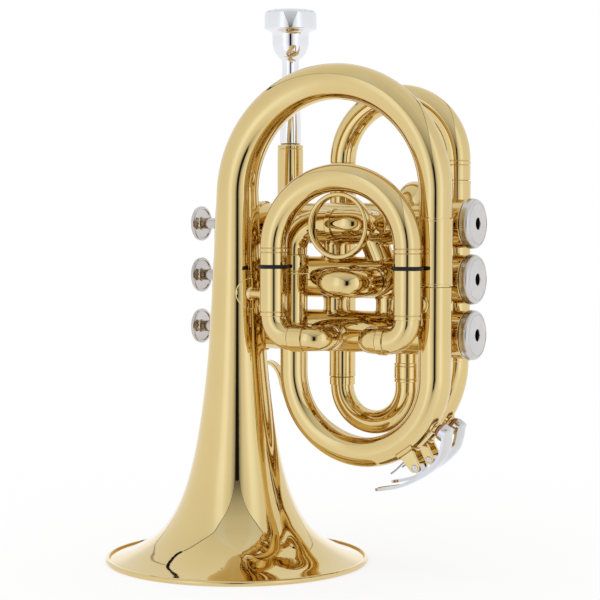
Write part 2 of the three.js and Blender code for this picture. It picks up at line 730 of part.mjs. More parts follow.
// Leadpipe side: mouthpiece in its receiver, leadpipe and its bow
{
  const line = (z) => at(leadpipeX, rearPlane, z);
  const cupPoint = ([out, up]) => [out * cupRimRadius, up * cupDepth];
  const shoulder = -mouthpieceStand + seat;
  const [throatEnd, throatTop] = throatShares.map((share) => share * cupDepth);
  const mouthpiece = [
    [throatRadius, throatTop], ...cupInsideShares.map(cupPoint), ...cupOutsideShares.map(cupPoint),
    [shankRadius, shoulder + receiverEdge + shankBand], [shankRadius, shoulder + receiverEdge],
    [shankMouth, shoulder], [shankEnd, -mouthpieceStand - shankReach],
    [shankBore, -mouthpieceStand - shankReach], [throatRadius, throatEnd], [throatRadius, throatTop],
  ];
  add('mouthpiece', turned(mouthpiece, turnedSides, zAxis, line(mouthpieceTop)), 'silver');
  const foot = receiverTop - receiverLength;
  const bead = receiverTop - receiverBead;
  const receiver = [
    [receiverMouth, receiverTop], [receiverRadius - receiverEdge, receiverTop],
    [receiverRadius, receiverTop - receiverEdge], [receiverRadius, bead + 2 * receiverEdge],
    [receiverRadius - receiverGroove, bead + receiverEdge], [receiverRadius, bead], [receiverRadius, foot],
    [receiverRoot, foot], [receiverMouth, receiverTop],
  ];
  add('receiver', turned(receiver, tubeSides, zAxis, line(0)), 'brass');
  const pipe = new Route(line(foot - seat), back(zAxis), leadpipeRadius, leadpipeRadius - wall);
  pipe.run(foot - seat - leadpipeCollar - seat);
  add('leadpipe', pipe.body(), 'brass');
  const span = 2 * leadBowRound;
  add('leadpipe_bow', hollow(line(leadpipeCollar), back(zAxis), leadpipeBowRadii[0], (route) => route
    .run(leadpipeCollar - leadpipeSpring).arch(span, span / 2, xAxis, leadpipeBowRadii, bigArchSteps)
    .step(tuningOuterRadius).run(leadpipeCollar - leadpipeSpring)), 'brass');
}

// Main tuning slide over the top, in two fixed outer tubes
{
  const span = tuningRight - tuningLeft;
  const collar = tuningRadius + collarRise;
  const foot = leadpipeCollar + tuningLegFoot;
  add('tuning_slide', hollow(at(tuningLeft, rearPlane, foot), zAxis, tuningLeg, (route) => route
    .run(tuningSlideEnd - foot).step(tuningRadius).run(tuningShoulder).step(collar).run(collarWidth)
    .step(tuningRadius).arch(span, span / 2, xAxis, [tuningRadius], bigArchSteps).step(collar)
    .run(collarWidth)
    .step(tuningRadius).run(tuningShoulder).step(tuningLeg).run(tuningSlideEnd - foot)), 'brass');
  for (const [side, x, low] of [['left', tuningLeft, rearBowJoint], ['right', tuningRight, leadpipeCollar]]) {
    const outer = tube(tuningOuterRadius, tuningBore, low + seat, tuningSlideEnd - seat, tubeSides, zAxis,
      at(x, rearPlane, 0));
    add(`tuning_outer_${side}`, outer, 'brass');
  }
}

// Rear bow: from the tuning slide's left tube, round, through its sleeve and back into the third casing
{
  const route = new Route(at(tuningLeft, rearPlane, rearBowJoint), back(zAxis), rearSleeveRadius);
  const span = 2 * rearBowRound;
  route.run(rearSocket).step(rearBowRadius).arch(span, span / 2, xAxis, [rearBowRadius]);
  route.run(rearSleeveGap).step(rearSleeveRadius).run(rearSleeveLength);
  route.step(rearBowRadius).run(rearStraight).bend(rearBend, 90, back(yAxis));
  route.run(rearPlane - rearBend - casingRadius / 2);
  add('rear_bow', cut(route.body(), casingSpace[2]), 'brass');
}

// Valves: casing, screw caps, piston, stem, finger button and return spring for each
valveHeights.forEach((z, k) => {
  const valve = k + 1;
  const axis = at(0, 0, z);
  const casing = [
    [casingBore, casingStart], [casingRadius, casingStart], [casingRadius, casingEnd - casingBandWidth],
    [casingBandRadius, casingEnd - casingBandWidth + casingBandSlope], [casingBandRadius, casingEnd],
    [casingBore, casingEnd], [casingBore, casingStart],
  ];
  add(`casing_${valve}`, turned(casing, turnedSides, xAxis, axis), 'brass');
  const topCapEnd = casingStart - seat;
  const topCapStart = topCapEnd - topCapLength;
  const shoulder = topCapRoundShares.map(([inward, along]) =>
    [topCapRadius - inward * topCapRound, topCapStart + along * topCapRound]);
  const top = [
    [stemRadius + seat, topCapStart], ...shoulder, [topCapRadius, topCapEnd], [stemRadius + seat, topCapEnd],
    [stemRadius + seat, topCapStart],
  ];
  add(`top_cap_${valve}`, turned(top, turnedSides, xAxis, axis), 'silver');
  const boss = casingBore - seat;
  const head = casingEnd + seat;
  const face = casingEnd + bottomCapHead;
  const inside = face - capPlate;
  const bossEnd = casingEnd - bottomCapBoss;
  const bottom = [
    [ventRadius, face], [ventRadius, inside], [boss - wall, inside], [boss - wall, bossEnd], [boss, bossEnd],
    [boss, head], [bottomCapRadius - bottomCapEdge, head], [bottomCapRadius, head + bottomCapEdge],
    [bottomCapRadius, face - bottomCapBevelRise], [bottomCapRadius - bottomCapBevel, face],
    [ventRadius, face],
  ];
  add(`bottom_cap_${valve}`, turned(bottom, turnedSides, xAxis, axis), 'silver');
  const pistonEnd = bossEnd - valveTravel - pistonStop;
  const barrelStart = casingStart + barrelInset;
  const pistonStart = casingStart + pistonShoulder;
  const barrel = pistonRadius - barrelSlim;
  const bore = pistonRadius - pistonWall;
  const piston = [
    [0, barrelStart], [barrel, barrelStart], [barrel, pistonStart], [pistonRadius, pistonStart],
    [pistonRadius, pistonEnd], [bore, pistonEnd], [bore, pistonStart + pistonFloor],
    [0, pistonStart + pistonFloor],
  ];
  add(`piston_${valve}`, turned(piston, smallSides, xAxis, axis), 'nickel');
  const underside = topCapStart - valveTravel - buttonSpare;
  const buttonFace = underside - buttonThick;
  add(`stem_${valve}`, rod(stemRadius, underside + seat, barrelStart - seat, discSides, xAxis, axis),
    'silver');
  const button = [
    [0, buttonFace], [buttonRadius - buttonRound, buttonFace], [buttonRadius, buttonFace + buttonRound / 2],
    [buttonRadius, underside - buttonEdge], [buttonRadius - buttonEdge, underside],
    [buttonRadius - buttonRim, underside], [buttonRadius - buttonRim, underside - buttonRecess],
    [buttonHub, underside - buttonRecess], [buttonHub, underside], [0, underside],
  ];
  add(`finger_button_${valve}`, turned(button, smallSides, xAxis, axis), 'silver');
  const spring = tube(springRadius, springRadius - springWire, pistonEnd + seat, inside - seat, postSides,
    xAxis, axis);
  add(`valve_spring_${valve}`, spring, 'steel');
});
for (const [k, pair] of [[0, '1_2'], [1, '2_3']]) {
  knuckleShares[k].forEach(([upper, lower], n) => {
    const top = at(alongCasing(upper), 0, valveHeights[k]);
    const along = at(alongCasing(lower), 0, valveHeights[k + 1]).sub(top);
    const radius = upper === lower ? knuckleSmall : knuckleWide;
    const post = rod(radius, 0, along.length(), smallSides, along.clone().normalize(), top);
    add(`knuckle_${pair}_${n + 1}`, cut(post, casingSpace[k], casingSpace[k + 1]), 'brass');
  });
}

// Water keys: one on the front bow, one on the leadpipe bow, each in the plane of its bow
function waterKey(name, centre, bowRadius, tubeRadius, pivotAngle, corkAngle, tipAngle) {
  const surface = bowRadius + tubeRadius;
  const out = (degrees) => {
    const turn = THREE.MathUtils.degToRad(degrees);
    return at(Math.cos(turn), 0, Math.sin(turn));
  };
  const spot = (degrees, height) => centre.clone().addScaledVector(out(degrees), surface + height);
  const pivot = spot(pivotAngle, pivotHeight);
  const half = keyWidth / 2;
  const strip = (angles, heights, thick, width) =>
    ribbon(angles.map((a, i) => spot(a, heights[i] + thick / 2)), thick, width);
  const level = (turns, height, thick, width) =>
    strip(turns.map((turn) => pivotAngle + turn), turns.map(() => height), thick, width);
  const outside = half + seat + lugThick;
  const base = level(saddleTurns, -saddleSink, saddleThick, 2 * outside);
  const lugs = [-1, 1].map((side) => {
    const lug = level(lugTurns, 0, lugHeight, lugThick);
    lug.translate(0, side * (outside - lugThick / 2), 0);
    return lug;
  });
  const pin = rod(keyPin, -outside - pinProud, outside + pinProud, pinSides, yAxis, pivot);
  const bowSpace = rod(tubeRadius / Math.cos(Math.PI / tubeSides) + seat, -saddleReach, saddleReach,
    tubeSides, out(pivotAngle + 90), centre.clone().addScaledVector(out(pivotAngle), bowRadius));
  add(`${name}_saddle`, cut(join(base, ...lugs, pin), bowSpace), 'brass');
  // Lever: a bowed plate, a web down to the barrel on the pin, and the cup that holds the cork
  const angles = plateTurnShares.map((share) => corkAngle + (pivotAngle - corkAngle) * Math.min(share, 1)
    + (tipAngle - pivotAngle) * Math.max(share - 1, 0));
  const heights = plateHeightShares.map((share) => share * pivotHeight);
  const plate = strip(angles, heights, plateThick, plateWidth);
  const web = level(webTurns, pivotHeight, webHeight, keyWidth);
  const barrel = rod(keyBarrel, -half, half, postSides, yAxis, pivot);
  const bore = rod(keyPin + seat, -half - overshoot, half + overshoot, pinSides, yAxis, pivot);
  const cupSpot = spot(corkAngle, 0);
  const corkTop = nippleTop + seat + corkDepth;
  const cupTop = corkTop + cupDome + plateThick / 2;
  const cup = rod(cupRadius, corkTop + seat, cupTop, discSides, out(corkAngle), cupSpot);
  add(`${name}_lever`, cut(join(plate, web, barrel, cup), bore), 'nickel');
  add(`${name}_cork`, rod(corkRadius, nippleTop + seat, corkTop, discSides, out(corkAngle), cupSpot), 'cork');
  const wire = new THREE.CatmullRomCurve3(wireTurns.map((turn, i) =>
    spot(pivotAngle - turn, wireHeightShares[i] * pivotHeight)));
  const section = new THREE.Shape(Array.from({ length: wireSides }, (_, k) => {
    const turn = (2 * Math.PI * k) / wireSides;
    return new THREE.Vector2(wireRadius * Math.cos(turn), wireRadius * Math.sin(turn));
  }));
  const spring = new THREE.ExtrudeGeometry(section,
    { steps: wireSteps, extrudePath: wire, bevelEnabled: false });
  add(`${name}_spring`, closed(spring), 'steel');
  return rod(nippleRadius, -nippleRoot, nippleTop, discSides, out(corkAngle), cupSpot);
}
const frontBowRound = (loopSpan - frontBowLeft) / 2;
const frontKeyTube = radiusAt(frontBowRadii, -frontKeyTurns[0] / 180);
const rearKeyTube = radiusAt(leadpipeBowRadii, 1 + rearKeyTurns[0] / 180);
const keys = [
  ['front_key', 'front_bow', at(loopSpan - frontBowRound, bellPlane, frontBowSpring), frontBowRound,
    frontKeyTube, frontKeyTurns],
  ['rear_key', 'leadpipe_bow', at(tuningRight - leadBowRound, rearPlane, leadpipeSpring), leadBowRound,
    rearKeyTube, rearKeyTurns],
];
for (const [name, bow, centre, round, radius, turns] of keys) {
  const nipple = waterKey(name, centre, round, radius, ...turns);
  const mesh = trumpet.getObjectByName(bow);
  mesh.geometry = join(mesh.geometry, nipple);
}

// Braces and the finger hook
{
  const legSpot = at(thirdLeft, thirdPlane, braceHeight);
  const bellSpot = at(0, bellPlane, braceHeight);
  const along = legSpot.clone().sub(bellSpot);
  const length = along.length();
  along.normalize();
  const around = (gap) => turned([[0, flare[0].x], ...flare.map((station) => [station.y + gap, station.x]),
    [0, loopSpring]], bellSides, zAxis, at(0, bellPlane, 0));
  const stem = stemAt(braceHeight);
  const post = rod(braceRadius, stem - braceSink, length - braceSink, postSides, along, bellSpot);
  const flange = rod(flangeRadius, stem - 2 * braceSink, stem + braceSink, postSides, along, bellSpot);
  const bellFlange = common(flange, around(seat + flangeSheet));
  const legFlange = rod(legFlangeRadius, length - thirdOuterRadius - legFlangeThick, length - braceSink,
    discSides, along, bellSpot);
  const bellSpace = around(seat);
  const legSpace = rod(thirdOuterRadius + seat, -braceSpace, braceSpace, tubeSides, zAxis, legSpot);
  add('bell_brace', cut(join(post, bellFlange, legFlange), bellSpace, legSpace), 'brass');
}
{
  const legSpot = at(thirdRight, thirdPlane, loopBraceHeight);
  const loopSpot = at(loopSpan, bellPlane, loopBraceHeight);
  const along = loopSpot.clone().sub(legSpot);
  const length = along.length();
  along.normalize();
  const block = rod(loopBraceRadius, braceSink, length - braceSink, discSides, along, legSpot);
  const legSpace = rod(thirdOuterRadius + seat, -braceSpace, braceSpace, tubeSides, zAxis, legSpot);
  const loopSpace = rod(frontBowRadii[0] + seat, -braceSpace, braceSpace, tubeSides, zAxis, loopSpot);
  add('loop_brace', cut(block, legSpace, loopSpace), 'brass');
}
{
  const clearance = leadpipeBowRadii[0] + hookGap + hookThick / 2;
  const centre = at(leadpipeX + leadBowRound, rearPlane, leadpipeSpring);
  const foot = hookFootTurns.map((degrees) => {
    const turn = THREE.MathUtils.degToRad(degrees);
    return at(Math.cos(turn), 0, Math.sin(turn)).multiplyScalar(leadBowRound + clearance).add(centre);
  });
  const curl = hookCurlShares.map(([out, up]) =>
    at(out * hookReach, 0, up * hookReach).add(foot[foot.length - 1]));
  const route = new THREE.CatmullRomCurve3([...foot, ...curl]).getPoints(hookSteps);
  add('finger_hook', ribbon(route, hookThick, hookWidth), 'brass');
}

const box = new THREE.Box3().setFromObject(trumpet);
const middle = box.getCenter(new THREE.Vector3());
const root = new THREE.Group();
trumpet.position.set(-middle.x, -middle.y, -box.min.z);
root.add(trumpet);

export default root;
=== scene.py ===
import math

import bmesh
import bpy
from mathutils import Matrix, Vector


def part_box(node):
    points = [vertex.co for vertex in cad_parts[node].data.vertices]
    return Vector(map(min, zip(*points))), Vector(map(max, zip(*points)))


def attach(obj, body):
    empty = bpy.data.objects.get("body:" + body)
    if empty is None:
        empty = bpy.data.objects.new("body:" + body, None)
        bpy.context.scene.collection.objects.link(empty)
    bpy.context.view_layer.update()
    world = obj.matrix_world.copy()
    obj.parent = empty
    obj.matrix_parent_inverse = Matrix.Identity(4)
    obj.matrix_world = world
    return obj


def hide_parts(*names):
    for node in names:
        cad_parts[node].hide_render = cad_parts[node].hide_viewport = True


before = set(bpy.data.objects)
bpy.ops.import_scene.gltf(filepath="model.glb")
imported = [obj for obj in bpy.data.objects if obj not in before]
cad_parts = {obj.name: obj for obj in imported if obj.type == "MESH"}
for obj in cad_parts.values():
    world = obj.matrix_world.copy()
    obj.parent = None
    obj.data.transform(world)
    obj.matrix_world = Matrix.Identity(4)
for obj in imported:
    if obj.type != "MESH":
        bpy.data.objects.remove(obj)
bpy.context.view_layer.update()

print("frame loaded:", len(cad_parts), "nodes")

# All sizes are in millimetres from the drawing's zero: the bell's axis at x = 0, the valves at y = 0, and the
# bell's rim at z = 0
metre = 1000
millimetre = 0.001
xAxis = Vector((1, 0, 0))
yAxis = Vector((0, 1, 0))
zAxis = Vector((0, 0, 1))
quarterTurn, halfTurn = 90, 180  # degrees
seat = 0.3  # the gap between soldered neighbours
# Tables of edges give each point as inward from a radius, and along from an end; a third value marks knurling
casing = {
    "heights": (158.4, 133.4, 108.4),
    "radius": 9.75,
    "bore": 8.55,
    "start": -4.5,
    "end": 107.1,
    "bandRadius": 10.9,
    "topBand": (-4.5, 2.4),
    "topEdges": (((0.4, 0), (0.1, 0.3)), ((0.1, 0.6),)),
    "bottomBand": (101.2, 107.1),
    "bottomEdges": (((0, 0.4),), ((0, 0.3), (0.3, 0))),
}
lowCorner, highCorner = (Vector(corner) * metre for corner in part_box("casing_1"))
casingMiddle = (lowCorner + highCorner) / 2
shift = Vector((lowCorner.x - casing["start"], casingMiddle.y, casingMiddle.z - casing["heights"][0]))
print("drawing's zero in the frame, mm:", [round(place, 3) for place in shift])


def mm(point):
    return (Vector(point) + shift) * millimetre


# Camera first, at the photograph's angle
lensView = {
    "azimuth": 29.538,
    "elevation": 2.432,
    "roll": 0.114,
    "distance": 808.147,
    "target": (20.512, 0, 122.175),
    "focalPixels": 1704.02,
    "framePixels": 600,
    "sensor": 36,
}


def placeCamera(look):
    turn, rise, roll = (math.radians(look[key]) for key in ("azimuth", "elevation", "roll"))
    right = Vector((math.cos(turn), math.sin(turn), 0))
    ahead = Vector((-math.sin(turn) * math.cos(rise), math.cos(turn) * math.cos(rise), -math.sin(rise)))
    up = right.cross(ahead)
    across = right * math.cos(roll) + up * math.sin(roll)
    above = up * math.cos(roll) - right * math.sin(roll)
    data = bpy.data.cameras.new("photoLens")
    data.sensor_width = look["sensor"]
    data.lens = look["sensor"] * look["focalPixels"] / look["framePixels"]
    eye = bpy.data.objects.new("photoLens", data)
    spot = mm(Vector(look["target"]) - ahead * look["distance"])
    eye.matrix_world = Matrix.Translation(spot) @ Matrix((across, above, -ahead)).transposed().to_4x4()
    bpy.context.scene.collection.objects.link(eye)
    bpy.context.scene.camera = eye


placeCamera(lensView)
print("camera placed")

# Finishes: each is a node material with its own colour drift, polish and fine surface
metalSurface = {"drift": 40, "driftDetail": 3, "haze": 240, "hazeDetail": 5, "stops": (0.3, 0.7),
                "ripple": (0.012, 0.001)}
softSurface = {"stops": (0, 0.6), "reach": (0, 1), "pitDepth": 0.0003}
metals = {  # bright and deep colour, and roughness from and to
    "lacqueredBrass": ((0.72, 0.53, 0.225), (0.7, 0.507, 0.208), (0.02, 0.045)),
    "silverPlate": ((0.84, 0.79, 0.735), (0.81, 0.76, 0.7), (0.03, 0.06)),
    "brightPlate": ((0.64, 0.57, 0.495), (0.5, 0.44, 0.37), (0.04, 0.1)),
    "satinPlate": ((0.67, 0.61, 0.53), (0.62, 0.56, 0.48), (0.24, 0.36)),
    "nickelSilver": ((0.68, 0.63, 0.57), (0.58, 0.535, 0.48), (0.03, 0.07)),
    "springSteel": ((0.5, 0.5, 0.51), (0.38, 0.38, 0.39), (0.1, 0.2)),
}
softs = {  # light and dark colour, roughness from and to, grain, how strong its pits are, and sheen
    "blackRubber": ((0.016, 0.016, 0.017), (0.008, 0.008, 0.008), (0.35, 0.5), 2500, 0.2, 0.15),
    "redCork": ((0.42, 0.17, 0.08), (0.2, 0.07, 0.035), (0.7, 0.9), 1400, 0.6, 0.5),
    # the last finish is painted shade: black for the dark inside behind the bottom caps' vents
    "ventPaintedShade": ((0.006, 0.006, 0.006), (0.003, 0.003, 0.003), (0.8, 0.95), 900, 0.3, 0.1),
}


def wire(tree, source, target):
    tree.links.new(source, target)


def startFinish(name):
    finish = bpy.data.materials.new(name)
    finish.use_nodes = True
    return finish, finish.node_tree, finish.node_tree.nodes["Principled BSDF"]


def onObject(tree):
    return tree.nodes.new("ShaderNodeTexCoord").outputs["Object"]


def addNode(tree, kind, **values):
    node = tree.nodes.new(kind)
    for name, value in values.items():
        node.inputs[name].default_value = value
    return node


def leadShader(tree, shader, broad, fine, colours, stops, reach, rough, pits):
    # a broad pattern leads the colour, and a fine one the roughness and a low bump
    tone = tree.nodes.new("ShaderNodeValToRGB")
    for element, colour, stop in zip(tone.color_ramp.elements, colours, stops):
        element.position = stop
        element.color = (*colour, 1)
    wire(tree, broad, tone.inputs["Fac"])
    wire(tree, tone.outputs["Color"], shader.inputs["Base Color"])
    gloss = addNode(tree, "ShaderNodeMapRange", **{"From Min": reach[0], "From Max": reach[1],
                                                   "To Min": rough[0], "To Max": rough[1]})
    wire(tree, fine, gloss.inputs["Value"])
    wire(tree, gloss.outputs["Result"], shader.inputs["Roughness"])
    bump = addNode(tree, "ShaderNodeBump", Strength=pits[0], Distance=pits[1])
    wire(tree, fine, bump.inputs["Height"])
    wire(tree, bump.outputs["Normal"], shader.inputs["Normal"])


def metalFinish(name, bright, deep, rough):
    finish, tree, shader = startFinish(name)
    shader.inputs["Metallic"].default_value = 1.0
    place, size = onObject(tree), metalSurface
    clouds = addNode(tree, "ShaderNodeTexNoise", Scale=size["drift"], Detail=size["driftDetail"])
    haze = addNode(tree, "ShaderNodeTexNoise", Scale=size["haze"], Detail=size["hazeDetail"])
    for pattern in (clouds, haze):
        wire(tree, place, pattern.inputs["Vector"])
    leadShader(tree, shader, clouds.outputs["Fac"], haze.outputs["Fac"], (deep, bright), size["stops"],
               size["stops"], rough, size["ripple"])
    return finish


def softFinish(name, light, dark, rough, grain, pits, sheen):
    finish, tree, shader = startFinish(name)
    shader.inputs["Specular IOR Level"].default_value = sheen
    specks = addNode(tree, "ShaderNodeTexVoronoi", Scale=grain)
    wire(tree, onObject(tree), specks.inputs["Vector"])
    size = softSurface
    leadShader(tree, shader, specks.outputs["Distance"], specks.outputs["Distance"], (dark, light),
               size["stops"], size["reach"], rough, (pits, size["pitDepth"]))
    return finish


finishes = {name: metalFinish(name, *recipe) for name, recipe in metals.items()}
finishes.update({name: softFinish(name, *recipe) for name, recipe in softs.items()})
print("finishes mixed:", len(finishes))

# Shared makers
edges = {"weld": 2e-7, "crease": 28, "bevel": 0.12, "bevelSteps": 2, "bevelAngle": 40}
facets = {"tube": 56, "turned": 72, "casing": 80, "button": 96, "post": 48, "small": 40, "wire": 12,
          "arc": 12, "curve": 8, "bead": 8}
bendStep = 5  # degrees from one ring of a bend to the next
steep = 0.9  # an axis this close to a main axis takes another one for its side


def makePiece(name, skin, nodes=(), finish="lacqueredBrass", body="horn", bevel=edges["bevel"]):
    points, faces = skin
    mesh = bpy.data.meshes.new(name)
    mesh.from_pydata([mm(point) for point in points], [], faces)
    work = bmesh.new()
    work.from_mesh(mesh)
    bmesh.ops.remove_doubles(work, verts=work.verts, dist=edges["weld"])
    bmesh.ops.recalc_face_normals(work, faces=work.faces)
    work.to_mesh(mesh)
    work.free()
    mesh.polygons.foreach_set("use_smooth", [True] * len(mesh.polygons))
    mesh.set_sharp_from_angle(angle=math.radians(edges["crease"]))
    mesh.materials.append(finishes[finish])
    piece = bpy.data.objects.new(name, mesh)
    bpy.context.scene.collection.objects.link(piece)
    if bevel:
        edge = piece.modifiers.new("softEdges", "BEVEL")
        edge.width = bevel * millimetre
        edge.segments = edges["bevelSteps"]
        edge.limit_method = "ANGLE"
        edge.angle_limit = math.radians(edges["bevelAngle"])
        edge.use_clamp_overlap = True
    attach(piece, body)
    if nodes:
        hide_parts(*nodes)


def skinRings(rings, looped=False):
    count = len(rings[0])
    points = [point for ring in rings for point in ring]
    faces = []
    for i in range(len(rings) if looped else len(rings) - 1):
        low, high = i * count, ((i + 1) % len(rings)) * count
        for k in range(count):
            faces.append((low + k, low + (k + 1) % count, high + (k + 1) % count, high + k))
    if not looped:
        faces.append(tuple(reversed(range(count))))
        faces.append(tuple(range((len(rings) - 1) * count, len(rings) * count)))
    return points, faces


def joinSkins(*skins):
    points, faces = [], []
    for morePoints, moreFaces in skins:
        base = len(points)
        points += morePoints
        faces += [tuple(base + k for k in face) for face in moreFaces]
    return points, faces


def edgeLine(table, radius, end, way=1):
    return [(radius - inward, end + way * along, *marks) for inward, along, *marks in table]


def turnedSkin(profile, axis, origin, sides=facets["turned"], knurl=0):
    # a profile of radius and place along the axis, turned; a closed one stays hollow
    looped = profile[0] == profile[-1]
    axis = Vector(axis)
    side = zAxis if abs(axis.z) < steep else yAxis
    side = (side - axis * side.dot(axis)).normalized()
    across = axis.cross(side)
    rings = []
    for radius, along, *marks in profile[:-1] if looped else profile:
        middle = Vector(origin) + axis * along
        ring = []
        for k in range(sides):
            turn = 2 * math.pi * k / sides
            reach = radius - (knurl if marks and k % 2 else 0)
            ring.append(middle + (side * math.cos(turn) + across * math.sin(turn)) * reach)
        rings.append(ring)
    return skinRings(rings, looped)


def smoothThrough(points, steps):
    padded = [points[0], *points, points[-1]]
    line = []
    for i in range(len(points) - 1):
        a, b, c, d = (Vector(p) for p in padded[i:i + 4])
        for k in range(steps):
            t = k / steps
            line.append(0.5 * (2 * b + (c - a) * t + (2 * a - 5 * b + 4 * c - d) * t ** 2
                               + (3 * b - a - 3 * c + d) * t ** 3))
    line.append(Vector(points[-1]))
    return line


def squareTo(line, i):
    # square to a line at one of its points, in the upright plane
    along = (line[min(i + 1, len(line) - 1)] - line[max(i - 1, 0)]).normalized()
    return Vector((-along.z, 0, along.x))


# Solder where a tube meets a casing: distance along the tube, and outward; then the shares of its radius that
# close it
solder = {
    "fillet": ((-1.5, 0.0), (-0.8, 0.1), (-0.35, 0.32), (-0.08, 0.62), (0.35, 0.85)),
    "closingShares": (0.85, 0.65, 0.45, 0.25, 0.08),
    "inset": 0.45,
}


def hitCasing(point, heading, height, radius):
    off = Vector((0, point.y, point.z - height))
    a = heading.y ** 2 + heading.z ** 2
    b = 2 * (off.y * heading.y + off.z * heading.z)
    c = off.y ** 2 + off.z ** 2 - radius ** 2
    return (-b - math.sqrt(max(b * b - 4 * a * c, 0))) / (2 * a)


def meetRings(tube, heading, height):
    # rings cast along the heading onto the casing, so that the tube ends in its wall
    outer, inner = casing["radius"], casing["radius"] - solder["inset"]
    last = solder["fillet"][-1][0]
    closing = [(last, tube.radius * (share - 1)) for share in solder["closingShares"]]
    rings = []
    for along, reach in [*solder["fillet"], *closing]:
        radius = outer if along < 0 else inner
        rings.append([point + heading * (along + hitCasing(point, heading, height, radius))
                      for point in tube.ring(tube.radius + reach)])
    return rings


jointLine = {"width": 0.42, "depth": 0.32}


class Tube:
    # one drawn tube: straight runs, steps, beads, bends and arches, kept as rings of points

    def __init__(self, start, heading, radius, sides=facets["tube"], bore=None):
        self.place = Vector(start)
        self.heading = Vector(heading).normalized()
        side = zAxis if abs(self.heading.y) > steep else yAxis
        self.side = (side - self.heading * side.dot(self.heading)).normalized()
        self.radius = radius
        self.sides = sides
        self.rings = []
        if bore:
            inner, depth = bore
            self.rings = [self.ring(inner, self.place + self.heading * along) for along in (depth, 0)]
        self.mark()

    def ring(self, radius, middle=None):
        middle = self.place if middle is None else middle
        across = self.heading.cross(self.side)
        turns = [2 * math.pi * k / self.sides for k in range(self.sides)]
        return [middle + (self.side * math.cos(turn) + across * math.sin(turn)) * radius for turn in turns]

    def mark(self):
        self.rings.append(self.ring(self.radius))
        return self

    def face(self, heading):
        self.side.rotate(self.heading.rotation_difference(heading))
        self.heading = heading.copy()
        self.side = (self.side - heading * self.side.dot(heading)).normalized()

    def run(self, length):
        self.place = self.place + self.heading * length
        return self.mark()

    def step(self, radius):
        self.radius = radius
        return self.mark()

    def bead(self, width, rise):
        for k in range(1, facets["bead"]):
            turn = math.pi * k / facets["bead"]
            spot = self.place + self.heading * width * (1 - math.cos(turn)) / 2
            self.rings.append(self.ring(self.radius + rise * math.sin(turn), spot))
        return self.run(width)

    def groove(self):
        base = self.radius
        return self.step(base - jointLine["depth"]).run(jointLine["width"]).step(base)

    def collar(self, radius, length):
        # a low band with a joint line at each end
        base = self.radius
        return self.groove().step(radius).run(length - 2 * jointLine["width"]).step(base).groove()

    def arch(self, span, toward, steps, radii=None, rise=None):
        # over to the side and back down, as a half circle unless its rise is given
        start, up = self.place.copy(), self.heading.copy()
        radii = radii or (self.radius,)
        rise = rise or span / 2
        for i in range(1, steps + 1):
            turn = math.pi * i / steps
            self.place = start + toward * (span / 2) * (1 - math.cos(turn)) + up * rise * math.sin(turn)
            self.face((toward * (span / 2) * math.sin(turn) + up * rise * math.cos(turn)).normalized())
            where = i / steps * (len(radii) - 1)
            low = min(int(where), max(len(radii) - 2, 0))
            high = min(low + 1, len(radii) - 1)
            self.radius = radii[low] + (radii[high] - radii[low]) * (where - low)
            self.mark()
        return self

    def bend(self, bendRadius, degrees, toward):
        start, before = self.place.copy(), self.heading.copy()
        steps = round(degrees / bendStep)
        for i in range(1, steps + 1):
            turn = math.radians(degrees * i / steps)
            self.place = start + (before * math.sin(turn) + toward * (1 - math.cos(turn))) * bendRadius
            self.face(before * math.cos(turn) + toward * math.sin(turn))
            self.mark()
        return self

    def meet(self, height):
        self.rings += meetRings(self, self.heading, height)
        return self

    def skin(self):
        return skinRings(self.rings)


def slideSkin(size, start, way, toward, span, inside, straight, collar=()):
    # a slide's first leg, its step up to the bow, and the same back again
    tube = Tube(start, way, size["leg"]).run(inside).step(size["radius"]).run(straight)
    if collar:
        tube.collar(*collar)
    tube.arch(span, toward, size["bowSteps"], rise=size.get("rise"))
    if collar:
        tube.collar(*collar)
    return tube.run(straight).step(size["leg"]).run(inside).skin()


def sleeveSkin(outer, bore, start, end, origin, lip, lipWidth):
    # a plain upright sleeve with a low lip at each end
    edge = outer + lip
    line = [(bore, start), (edge, start), (edge, start + lipWidth), (outer, start + lipWidth),
            (outer, end - lipWidth), (edge, end - lipWidth), (edge, end), (bore, end), (bore, start)]
    return turnedSkin(line, zAxis, origin, facets["tube"])


# Bell: flare with its rolled rim, stem and top bow in one skin, and the sleeve at its end
bell = {
    "plane": -23.3135,
    # heights and radii from the rim to the bow
    "flare": ((1.3, 61.1), (4, 52.6), (7, 46.1), (10.5, 40.2), (15, 35.1), (20, 31.3), (27, 27.4), (36, 23.9),
              (48, 20.7), (62, 18.1), (80, 15.6), (100, 13.6), (125, 12.1), (150, 10.9), (171.5, 9.9)),
    "flareSteps": 8,
    "sheet": 0.9,
    "bead": 1.3,
    "beadInset": 0.59,
    "beadTurns": (-0.82, 0.62),
    "beadSteps": 24,
    "span": 101.8,
    "bowRadii": (9.9, 8.9, 8.2, 7.8, 7.4),
    "bowSteps": 110,
    "sleeve": (131, 160.5, 7.75),
    "sleeveLip": (0.16, 1),
    "jointGap": 0.5,
    "tenon": 6.5,
    "tenonLength": 13,
    "sides": 120,
}
bellLine = smoothThrough(bell["flare"], bell["flareSteps"])


